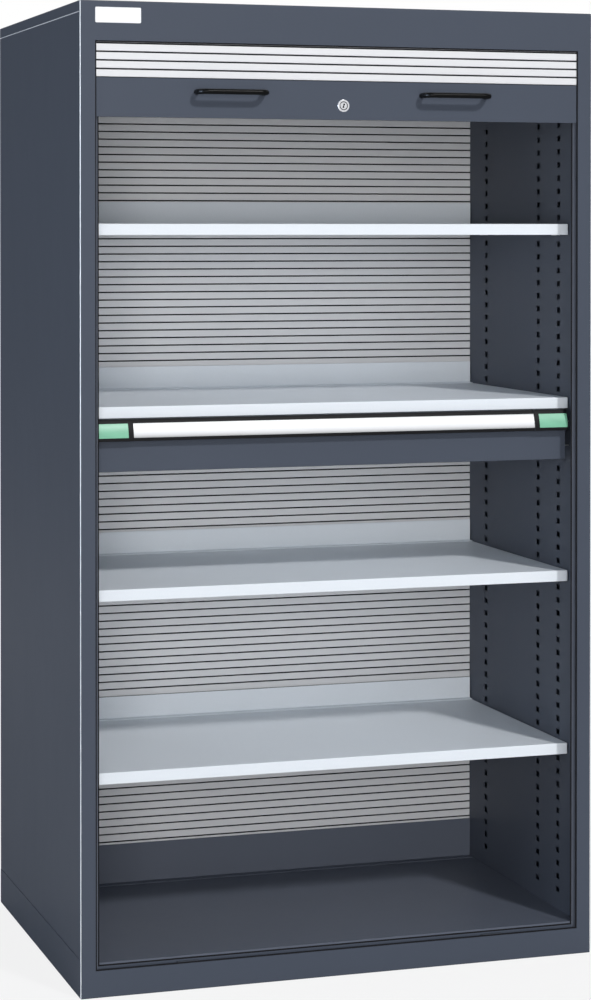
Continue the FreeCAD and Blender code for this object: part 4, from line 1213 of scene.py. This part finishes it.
@dataclass
class Curtain:
    """Slatted curtain: run above the bar, run over the top, run down the back and the feed."""

    pitch: float = 15.5
    gap: float = 0.5
    thickness: float = 7.0
    neck: float = 2.7
    neck_recess: float = 1.6
    taper: float = 0.5
    crown: float = 1.2
    tongue_overlap: float = 0.02
    arch_radius: float = 42.0
    feed_depth: float = 6.0
    halvings: int = 50

    def __post_init__(self) -> None:
        """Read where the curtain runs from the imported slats."""
        self.front_low, self.front_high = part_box("slats_front")
        self.back_low, self.back_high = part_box("slats_back")
        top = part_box("slats_over_top")[1].z
        self.arch_base = top - (self.thickness / 2 + self.arch_radius) * MM
        self.half = self.front_high.x
        self.front_y = (self.front_low.y + self.front_high.y) / 2
        self.back_y = (self.back_low.y + self.back_high.y) / 2
        self.travel = next(joint["range_m"][1] for joint in frame["joints"]
                           if joint["name"] == "shutter_slide")

    def build(self) -> None:
        """Model one slat and lay it along every run."""
        model = self.slat()
        step = self.pitch * MM
        front_base = self.front_low.z - self.gap * MM / 2
        count = round((self.front_high.z - self.front_low.z) / step)
        front = laid_out(model, "slats_front_run", self.column(front_base, count))
        hand_over(front, Finish.SLAT, "shutter", "slats_front")
        self.over_top(model, front_base)
        self.down_back(model)
        self.feed(model, front_base + count * step)
        bpy.data.objects.remove(model)

    def column(self, base: float, count: int) -> list[Matrix]:
        """Places of slats stacked upwards from a height at the front."""
        return [Matrix.Translation((0, self.front_y, base + (number + 0.5) * self.pitch * MM))
                for number in range(count)]

    def slat(self) -> bpy.types.Object:
        """Model a slat, its crowned side towards the front, its hinge tongue near black as painted shade
        in the joint.

        Returns:
            The slat, at the origin.
        """
        half_deep, half_high = self.thickness * MM / 2, (self.pitch - self.neck) * MM / 2
        tongue_depth = half_deep - self.neck_recess * MM
        corner = Vector((self.half, half_deep, half_high))
        bench = Bench.block("slat", -corner, corner)
        bench.everything().paint(Finish.SLAT)
        for depth in (-tongue_depth, tongue_depth):
            bench.cut(Vector((0, depth, 0)), REARWARD)
        for side in (-1, 1):
            bench.faces(lambda at, normal: normal.z * side > FACING and abs(at.y) < tongue_depth)
            bench.extrude((0, 0, side * (self.neck / 2 + self.tongue_overlap) * MM))
        # Painted shade: the hinge tongue is near black where the joint between slats lies in shade.
        bench.faces(lambda at, normal: abs(at.z) > half_high + NEAR)
        bench.paint(Finish.SHADE_BLACK)
        for face, width, segments in ((half_deep, self.taper, 2), (-half_deep, self.crown, 3)):
            bench.edges(lambda a, b: abs(a.x - b.x) > self.half
                        and max(abs(a.y - face), abs(b.y - face)) < NEAR)
            bench.bevel(width * MM, segments)
        return bench.done().smooth(50.0)

    def over_top(self, model: bpy.types.Object, front_base: float) -> None:
        """Lay slats round the front arch, along the top and round the rear arch.

        Args:
            model: The slat.
            front_base: Height at which the curtain starts, on the bar.
        """
        rise, step = self.arch_base - front_base, self.pitch * MM
        places = []
        for number in itertools.count(int(rise / step)):
            place, turn = self.along_arch((number + 0.5) * step - rise)
            if turn >= math.pi:
                break
            places.append(Matrix.Translation(place) @ Matrix.Rotation(-turn, 4, "X"))
        run = laid_out(model, "slats_over_top_run", places)
        hand_over(run, Finish.SLAT, "cabinet", "slats_over_top")

    def along_arch(self, way: float) -> tuple[Vector, float]:
        """Follow the curtain from upright in front, over the arches, to the foot of the rear one.

        Args:
            way: Distance past the foot of the front arch, negative below it.

        Returns:
            The place, and the angle that the curtain has turned there.
        """
        radius = self.arch_radius * MM
        quarter, flat = radius * math.pi / 2, self.back_y - self.front_y - 2 * radius
        front_turn = min(max(way / radius, 0.0), math.pi / 2)
        rear_turn = min(max((way - quarter - flat) / radius, 0.0), math.pi / 2)
        level = min(max(way - quarter, 0.0), flat)
        deep = self.front_y + radius * (1 - math.cos(front_turn) + math.sin(rear_turn)) + level
        high = radius * (math.sin(front_turn) + math.cos(rear_turn) - 1) + min(way, 0.0)
        return Vector((0, deep, self.arch_base + high)), front_turn + rear_turn

    def down_back(self, model: bpy.types.Object) -> None:
        """Lay slats down the back.

        Args:
            model: The slat.
        """
        step, length = self.pitch * MM, self.back_high.z - self.back_low.z
        top = self.back_high.z + self.gap * MM / 2
        turn = Matrix.Rotation(math.pi, 4, "X")
        places = [Matrix.Translation((0, self.back_y, top - (number + 0.5) * step)) @ turn
                  for number in range(round(length / step))]
        group = laid_out(model, "slats_back_run", places)
        hand_over(group, Finish.SLAT, "cabinet", "slats_back")
        (length - self.travel) / length
        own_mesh(group)

    def feed(self, model: bpy.types.Object, run_top: float) -> None:
        """Lay the feed slats, closed up under the header at rest.

        Args:
            model: The slat.
            run_top: Upper end of the run above the bar.
        """
        start, end = run_top + self.feed_depth * MM, run_top
        places = self.column(end - self.travel, int(self.travel / (self.pitch * MM)))
        group = laid_out(model, "slats_feed_run", places)
        for corner in group.data.vertices:
            corner.co.z = self.closed_up(corner.co.z, start, end)
        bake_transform(group)
        log.info("%s: follows the bar, %d faces", group.name, len(group.data.polygons))

    def closed_up(self, lowered: float, start: float, end: float) -> float:
        """Find where a point rests that the blend brings to a lowered height.

        Args:
            lowered: Its height with the bar down.
            start: Height at which the blend starts to follow the bar.
            end: Height at which it follows the bar in full.

        Returns:
            Its height at rest, between start and end.
        """
        low, high = 0.0, 1.0
        for _ in range(self.halvings):
            share = (low + high) / 2
            weight = share * share * (3 - 2 * share)
            if start - share * (start - end) - self.travel * weight > lowered:
                low = share
            else:
                high = share
        return start - share * (start - end)


# Shutter bar -------------------------------------------------------------------------------

@dataclass
class ShutterBar:
    """End bar of the shutter with its bow handles and its lock."""

    rod: float = 5.0
    rod_corners: int = 24
    bend: float = 14.0
    bend_steps: int = 10
    rosette: float = 11.5
    rosette_corners: int = 48
    rosette_proud: float = 2.0
    rosette_round: float = 1.1
    groove: float = 1.6
    groove_floor: float = 1.5
    groove_depth: float = 0.9
    groove_shadow: float = 0.3
    bore_depth: float = 8.0
    barrel_start: float = 1.2
    lock_round: float = 0.15
    plug: float = 6.5
    plug_rim: float = 1.2
    key_shadow: float = 0.2
    key_slot: float = 1.6
    key_step: float = 1.5
    key_waist: float = 0.9
    key_reach: float = 4.0
    key_depth: float = 6.0

    def build(self) -> None:
        """Model the bar, handles and lock."""
        hand_over_eased(Finish.CARCASS, "shutter", 0.7, "shutter_bar")
        hand_over_eased(Finish.BLACK, "shutter", 0.5, "bar_glides")
        hand_over_eased(Finish.ZINC, "shutter", 0.4, "lock_nut", "handle_screws")
        hand_over_eased(Finish.ZINC, "lock", 0.3, "lock_cam", "lock_cam_screw")
        hand_over_eased(Finish.RUBBER, "cabinet", 0.5, "sill_buffers")
        self.handles()
        self.rosette_ring()
        self.turning_plug()

    def handles(self) -> None:
        """Bow handles bent from lacquered rod."""
        low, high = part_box("bar_handle_right")
        radius, bend = self.rod * MM, self.bend * MM
        foot_y, bow_y = high.y, low.y + radius
        left, right = low.x + radius, high.x - radius
        height = (low.z + high.z) / 2
        foot = Vector((left, foot_y, height))
        bench = Bench.disc("bow_handle_right", foot, radius, self.rod_corners).everything()
        bench.extrude((0, bow_y + bend - foot_y, 0))
        for middle, straight in ((left + bend, RIGHT * (right - left - 2 * bend)),
                                 (right - bend, REARWARD * (foot_y - bow_y - bend))):
            bench.spin(Vector((middle, bow_y + bend, height)), UP, math.pi / 2, self.bend_steps)
            bench.extrude(straight)
        bench.done()
        self.check_bow(bench.piece, low.y)
        bench.face_out(Vector(((left + right) / 2, low.y, height)), FORWARD)
        hand_over_pair(bench.smooth(40.0), Finish.HANDLE, "shutter", "bar_handle_right")

    @staticmethod
    def check_bow(piece: bpy.types.Object, front: float) -> None:
        """Stop if the bow was swept away from the front.

        Args:
            piece: The swept bow.
            front: Depth that its front has to reach.
        """
        reach = min(corner.co.y for corner in piece.data.vertices)
        if abs(reach - front) > MM:
            raise ValueError("the bow reaches y %.4f instead of %.4f" % (reach, front))

    def rosette_ring(self) -> None:
        """Lock housing: turned rosette with a groove round the plug, its deep faces near black as painted
        shade.
        """
        low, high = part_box("lock_housing")
        centre = Vector((0, low.y, (low.z + high.z) / 2))
        rim, groove = self.rosette * MM, (self.plug + self.groove) * MM
        bench = Bench.disc("lock_rosette", centre, rim, self.rosette_corners).everything()
        bpy.ops.mesh.inset(thickness=rim - groove)
        bench.extrude((0, self.groove_depth * MM, 0))
        bpy.ops.mesh.inset(thickness=self.groove_floor * MM)
        bench.extrude((0, self.bore_depth * MM, 0))
        bpy.ops.mesh.delete(type="FACE")
        bench.edges(lambda a, b: _round_edge(a, b, centre, rim))
        bench.extrude((0, self.rosette_proud * MM, 0))
        bench.edges(lambda a, b: _round_edge(a, b, centre, rim))
        bench.bevel(self.rosette_round * MM, 4)
        bench.done().face_out(centre + UP * (rim + groove) / 2, FORWARD)
        bench.everything().paint(Finish.CHROME)
        # Painted shade on the faces deep in the groove and the bore.
        bench.faces(lambda at, normal: at.y > centre.y + self.groove_shadow * MM
                    and (at - centre).xz.length < groove + NEAR)
        bench.paint(Finish.SHADE_BLACK)
        bench.smooth(35.0)
        barrel = Bench.hold(eased_copy("lock_housing", self.lock_round * MM))
        barrel.faces(lambda at, normal: at.y < centre.y + self.barrel_start * MM)
        bpy.ops.mesh.delete(type="FACE")
        bench.join([barrel.done().piece])
        hand_over(bench.piece, Finish.CHROME, "shutter", "lock_housing")

    def turning_plug(self) -> None:
        """Plug with a stepped keyway, near black inside as painted shade."""
        low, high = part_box("lock_plug")
        centre = Vector((0, low.y, (low.z + high.z) / 2))
        plug = Bench.hold(eased_copy("lock_plug", self.lock_round * MM))
        half, step, deep = self.key_slot * MM / 2, self.key_step * MM, self.key_depth * MM
        for side in (-1, 1):
            near, far = sorted((-side * half, side * (half + step)))
            bottom, top = sorted((side * self.key_waist * MM, side * self.key_reach * MM))
            cutter = Bench.block("key_cutter", (near, centre.y - deep, centre.z + bottom),
                                 (far, centre.y + deep, centre.z + top)).piece
            plug.modifier("BOOLEAN", object=cutter, operation="DIFFERENCE", solver="EXACT")
            bpy.data.objects.remove(cutter)
        Bench.hold(plug.piece)
        plug.everything().paint(Finish.CHROME)
        # Painted shade on the faces deep in the keyway.
        plug.faces(lambda at, normal: at.y > centre.y + self.key_shadow * MM
                   and (at - centre).xz.length < (self.plug - self.plug_rim) * MM)
        plug.paint(Finish.SHADE_BLACK)
        hand_over(plug.smooth(35.0), Finish.CHROME, "lock", "lock_plug")


def _round_edge(a: Vector, b: Vector, centre: Vector, radius: float) -> bool:
    """Tell whether both ends of an edge lie on a circle that looks towards the front."""
    return all(abs((end - centre).length - radius) < NEAR and end.y < centre.y + NEAR for end in (a, b))


# Interior ----------------------------------------------------------------------------------

@dataclass
class Interior:
    """Floor, walls, tracks and shelves."""

    shelves: int = 4
    shelf_sheet: float = 1.25
    shelf_bend: float = 1.8

    def build(self) -> None:
        """Model the shelves and dress the rest."""
        for number in range(1, self.shelves + 1):
            self.shelf(number)
            self.back_stop(number)
        # The inner walls and arch tracks take the darker copy of the interior paint, as painted shade.
        dress_nodes(Finish.WALL, "inner_wall_left", "inner_wall_right", "arch_tracks")
        hand_over_eased(Finish.INTERIOR_LIT, "cabinet", 0.8, "floor_plate", "rear_kick_panel")
        hand_over_eased(Finish.INTERIOR_LIT, "cabinet", 0.3, "front_tracks", "rear_tracks")
        hand_over_eased(Finish.ZINC, "cabinet", 0.3, "shelf_clips")

    def shelf(self, number: int) -> None:
        """Fold a shelf down along its four edges, its corners closed.

        Args:
            number: Number of the shelf, from the top.
        """
        node = "shelf_%d" % number
        low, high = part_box(node)
        bench = Bench.sheet(node + "_panel", Vector((low.x, low.y, high.z)),
                            RIGHT * (high.x - low.x), REARWARD * (high.y - low.y))
        bench.edges(lambda a, b: True)
        bench.extrude((0, 0, low.z - high.z))
        bench.edges(lambda a, b: max(a.z, b.z) > high.z - NEAR)
        bench.bevel(self.shelf_bend * MM, 4)
        bench.done().face_out(Vector((0, 0, high.z)), UP)
        bench.thicken(self.shelf_sheet * MM).ease(CUT_EDGE * MM)
        hand_over(bench.smooth(), Finish.SHELF, "cabinet", node)

    def back_stop(self, number: int) -> None:
        """Fold the upstand along a shelf's rear edge, with its foot on the shelf.

        Args:
            number: Number of the shelf, from the top.
        """
        node, sheet = "shelf_back_stop_%d" % number, self.shelf_sheet * MM
        low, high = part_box(node)
        back, foot = high.y - sheet, low.z + sheet
        piece = folded_sheet(node + "_sheet", Axis.ACROSS, [(back, high.z), (back, foot), (low.y, foot)],
                             (low.x, high.x), sheet, self.shelf_bend * MM)
        hand_over(piece, Finish.SHELF, "cabinet", node)


# Drawer ------------------------------------------------------------------------------------

@dataclass
class Drawer:
    """Shallow drawer: folded front, tray, full-width pull with label strip and end caps."""

    sheet: float = 1.2
    grip_sheet: float = 3.0
    grip_radius: float = 86.0
    top_reach: float = 4.0
    bottom_reach: float = 16.0
    front_bend: float = 1.6
    grip_round: float = 0.8
    flange_drop: float = 16.0
    flange_bend: float = 1.0
    flange_gap: float = 0.5
    label_seat: float = 0.2
    label_sheet: float = 0.8
    label_round: float = 0.2
    cap_skin: float = 2.0
    cap_round: float = 1.0
    cap_border_side: float = 10.0
    insert_skin: float = 2.35

    def __post_init__(self) -> None:
        """Find the axis of the pull's curve from its box."""
        low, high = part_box("drawer_grip")
        self.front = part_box("drawer_front")[0].y
        self.low, self.high = low, high
        top = Vector((self.front - self.top_reach * MM, high.z))
        bottom = Vector((self.front - self.bottom_reach * MM, low.z))
        chord = bottom - top
        inward = math.sqrt((self.grip_radius * MM) ** 2 - chord.length_squared / 4)
        across = Vector((-chord.y, chord.x)).normalized()
        self.axis = (top + bottom) / 2 + across * inward
        self.top, self.bottom = top, bottom

    def build(self) -> None:
        """Model every piece of the drawer and its slides."""
        self.front_panel()
        self.pull()
        self.label()
        self.caps()
        hand_over_eased(Finish.SHELF, "drawer", 0.3, "drawer_tray", "tray_side_left", "tray_side_right")
        hand_over_eased(Finish.ZINC, "drawer", 0.3, "grip_screws", "slide_inners")
        hand_over_eased(Finish.ZINC, "slide_middle", 0.3, "slide_middles")
        hand_over_eased(Finish.ZINC, "cabinet", 0.3, "slide_outers", "slide_brackets")

    def front_panel(self) -> None:
        """Front panel folded back along its top and bottom."""
        low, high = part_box("drawer_front")
        profile = [(high.y, high.z), (low.y, high.z), (low.y, low.z), (high.y, low.z)]
        piece = folded_sheet("drawer_front_panel", Axis.ACROSS, profile, (low.x, high.x),
                             self.sheet * MM, self.front_bend * MM)
        hand_over(piece, Finish.CARCASS, "drawer", "drawer_front")

    def curved(self, name: str, span: tuple[float, float], heights: tuple[float, float], skin: float,
               sheet: float, steps: int = 10) -> Bench:
        """Curved plate that follows the pull's front.

        Args:
            name: Name of the new piece.
            span: Ends across the cabinet.
            heights: Lower and upper edge.
            skin: Distance of its outer face in front of the pull's front.
            sheet: Thickness.
            steps: Segments of the curve.

        Returns:
            A bench that holds the plate.
        """
        radius = self.grip_radius * MM + skin
        angles = [math.asin((height - self.axis.y) / radius) for height in heights]
        low, high = (Vector((span[0], self.axis.x - radius * math.cos(angle),
                             self.axis.y + radius * math.sin(angle))) for angle in angles)
        turn = (angles[0] - angles[1]) / steps
        first = self.turned(high, turn)
        wide = RIGHT * (span[1] - span[0])
        bench = Bench.sheet(name, high, wide, first - high)
        bench.edges(lambda a, b: max((a - first).yz.length, (b - first).yz.length) < NEAR)
        bench.spin(Vector((0, *self.axis)), RIGHT, -turn * (steps - 1), steps - 1)
        bench.done().face_out((low + high + wide) / 2, FORWARD)
        return bench.thicken(sheet)

    def turned(self, place: Vector, angle: float) -> Vector:
        """Turn a place round the pull's axis.

        Args:
            place: The place, in front of the axis.
            angle: A positive angle raises it.

        Returns:
            The turned place.
        """
        deep, high = place.y - self.axis.x, place.z - self.axis.y
        cos, sin = math.cos(angle), math.sin(angle)
        return Vector((place.x, self.axis.x + deep * cos + high * sin,
                       self.axis.y - deep * sin + high * cos))

    def pull(self) -> None:
        """Curved pull with a top flange and a back flange against the front panel."""
        span = (self.low.x, self.high.x)
        plate = self.curved("pull_profile", span, (self.low.z, self.high.z), 0.0, self.grip_sheet * MM)
        pull = self.flanged(plate, span, self.high.z, self.grip_round)
        hand_over(pull, Finish.BLACK, "drawer", "drawer_grip")

    def flanged(self, plate: Bench, span: tuple[float, float], top: float,
                rounding: float) -> bpy.types.Object:
        """Join a curved plate to the flanges that carry it on the front panel.

        Args:
            plate: The curved plate.
            span: Ends of the flanges across the cabinet.
            top: Height of the upper flange.
            rounding: Rounding of the plate's edges, in millimetres.

        Returns:
            The plate and its flanges as one piece.
        """
        profile = [(self.front, top - self.flange_drop * MM), (self.front, top),
                   (self.top.x + self.flange_gap * MM, top)]
        flange = folded_sheet("flange", Axis.ACROSS, profile, span, self.grip_sheet * MM,
                              self.flange_bend * MM)
        return plate.ease(rounding * MM, 3).join([flange]).smooth(40.0)

    def label(self) -> None:
        """Blank label strip, lying in the pull's front."""
        low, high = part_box("grip_label")
        bench = self.curved("label_strip", (low.x, high.x), (low.z, high.z),
                            (self.label_seat + self.label_sheet) * MM, self.label_sheet * MM)
        bench.ease(self.label_round * MM)
        hand_over(bench.smooth(40.0), Finish.LABEL, "drawer", "grip_label")

    def caps(self) -> None:
        """End caps with a raised border round their coloured inserts."""
        low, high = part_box("grip_caps")
        insert_low, insert_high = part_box("grip_cap_inserts")
        span = (self.high.x, high.x)
        plate = self.curved("end_cap_right", span, (low.z, high.z), self.cap_skin * MM,
                            (self.cap_skin + self.grip_sheet) * MM, 12)
        cap = self.flanged(plate, span, high.z, self.cap_round)
        inner_edge = span[0] + self.cap_border_side * MM
        plate = self.curved("insert_right", (inner_edge, insert_high.x), (insert_low.z, insert_high.z),
                            self.insert_skin * MM, self.label_sheet * MM, 8)
        insert = plate.ease(CUT_EDGE * MM).smooth(40.0)
        hand_over_pair(cap, Finish.BLACK, "drawer", "grip_caps")
        hand_over_pair(insert, Finish.GREEN, "drawer", "grip_cap_inserts")


# Studio ------------------------------------------------------------------------------------

@dataclass(frozen=True)
class Lamp:
    """Soft rectangular lamp."""

    name: str
    place: tuple[float, float, float]
    aim: tuple[float, float, float]
    size: tuple[float, float]
    power: float
    colour: Colour = (1.0, 1.0, 1.0)
    reflections_only: bool = False

    def hang(self) -> None:
        """Add the lamp and turn it to its aim."""
        data = bpy.data.lights.new(self.name, "AREA")
        data.shape, data.size, data.size_y = "RECTANGLE", *self.size
        data.energy, data.color = self.power, self.colour
        lamp = bpy.data.objects.new(self.name, data)
        bpy.context.scene.collection.objects.link(lamp)
        lamp.location = self.place
        lamp.visible_diffuse = not self.reflections_only
        way = Vector(self.aim) - Vector(self.place)
        lamp.rotation_euler = way.to_track_quat("-Z", "Y").to_euler()


@dataclass(frozen=True)
class Studio:
    """Camera, lamps, world and floor."""

    focal_pixels: float = 2538.245
    long_side_pixels: float = 1000.0
    sensor: float = 36.0
    turn: float = 17.375
    tilt: float = 0.701
    camera_x: float = -1580.3
    camera_in_front: float = 4436.1
    camera_height: float = 1387.3
    shift_right: float = 50.6
    shift_down: float = 239.2
    view_depth: float = 60.0
    floor_size: float = 40.0
    ambient: float = 0.24
    mirrored: float = 0.18
    sky: Colour = (0.90, 0.97, 1.09)
    lamps: tuple[Lamp, ...] = (
        Lamp("key", (3.6, -10.1, 8.6), (0.0, -0.3, 0.9), (1.0, 1.0), 780.0),
        Lamp("front", (-3.0, -10.1, 2.4), (0.1, 0.0, 0.9), (4.0, 3.0), 252.0),
        Lamp("side", (-2.4, -0.05, 1.5), (-0.5, -0.05, 1.2), (1.4, 1.4), 8.5, (0.84, 1.0, 1.18)),
        Lamp("fill", (-2.3, -10.4, 0.75), (0.1, 0.0, 0.6), (5.0, 1.1), 168.0),
        Lamp("back", (2.6, 4.6, 3.4), (0.0, 0.0, 0.9), (2.4, 2.4), 110.0),
        Lamp("edge", (-4.5, -1.3, 1.4), (-0.5, -0.35, 0.9), (1.2, 1.8), 360.0, (0.78, 0.97, 1.28),
             reflections_only=True),
    )

    def build(self) -> None:
        """Set up the studio."""
        self.camera()
        for lamp in self.lamps:
            lamp.hang()
        self.world()
        self.floor()
        bpy.context.scene.view_settings.view_transform = "Standard"

    def camera(self) -> None:
        """Long lens from the left, level with the upper shelves, looking slightly down."""
        data = bpy.data.cameras.new("camera")
        data.sensor_width = self.sensor
        data.lens = self.focal_pixels / self.long_side_pixels * self.sensor
        data.shift_x = self.shift_right / self.long_side_pixels
        data.shift_y = -self.shift_down / self.long_side_pixels
        data.clip_end = self.view_depth
        camera = bpy.data.objects.new("camera", data)
        bpy.context.scene.collection.objects.link(camera)
        camera.location = (self.camera_x * MM, CAD_FRONT - self.camera_in_front * MM,
                           self.camera_height * MM)
        camera.rotation_euler = (math.radians(90 - self.tilt), 0, math.radians(-self.turn))
        bpy.context.scene.camera = camera

    def world(self) -> None:
        """White surroundings for the camera, a plain grey light and dimmer reflections otherwise."""
        world = bpy.data.worlds.new("surroundings")
        bpy.context.scene.world = world
        graph = Graph(world)
        path = graph.node("LightPath")
        seen = path.apply("MAXIMUM", path.pick("Is Transmission Ray"))
        unseen = path.pick("Is Glossy Ray") * (self.mirrored - self.ambient) + self.ambient
        strength = seen + (1.0 - seen) * unseen
        colour = graph.mix(seen, self.sky, (1.0, 1.0, 1.0))
        light = graph.node("Background", {}, {"Color": colour, "Strength": strength})
        graph.node("OutputWorld", {}, {"Surface": light})

    def floor(self) -> None:
        """Wide floor under the cabinet."""
        half = self.floor_size / 2
        bench = Bench.sheet("studio_floor", Vector((-half, -half, 0)), RIGHT * self.floor_size,
                            REARWARD * self.floor_size)
        bench.piece.data.materials.append(StudioFloor().material())


def check_dressed() -> None:
    """Log any CAD node that is shown without a finish."""
    skins = {finish.value.name for finish in Finish}
    for name, shown in frame["nodes"].items():
        if not shown.hide_render and not all(place.material and place.material.name in skins
                                             for place in shown.material_slots):
            log.warning("%s has no finish", name)


def main() -> None:
    """Build the whole scene in order."""
    logging.basicConfig(level=logging.INFO, format="%(name)s: %(message)s")
    Studio().build()
    for part in (Carcass(), Curtain(), ShutterBar(), Interior(), Drawer()):
        log.info("building %s", type(part).__name__)
        part.build()
    check_dressed()


if __name__ == "__main__":
    main()
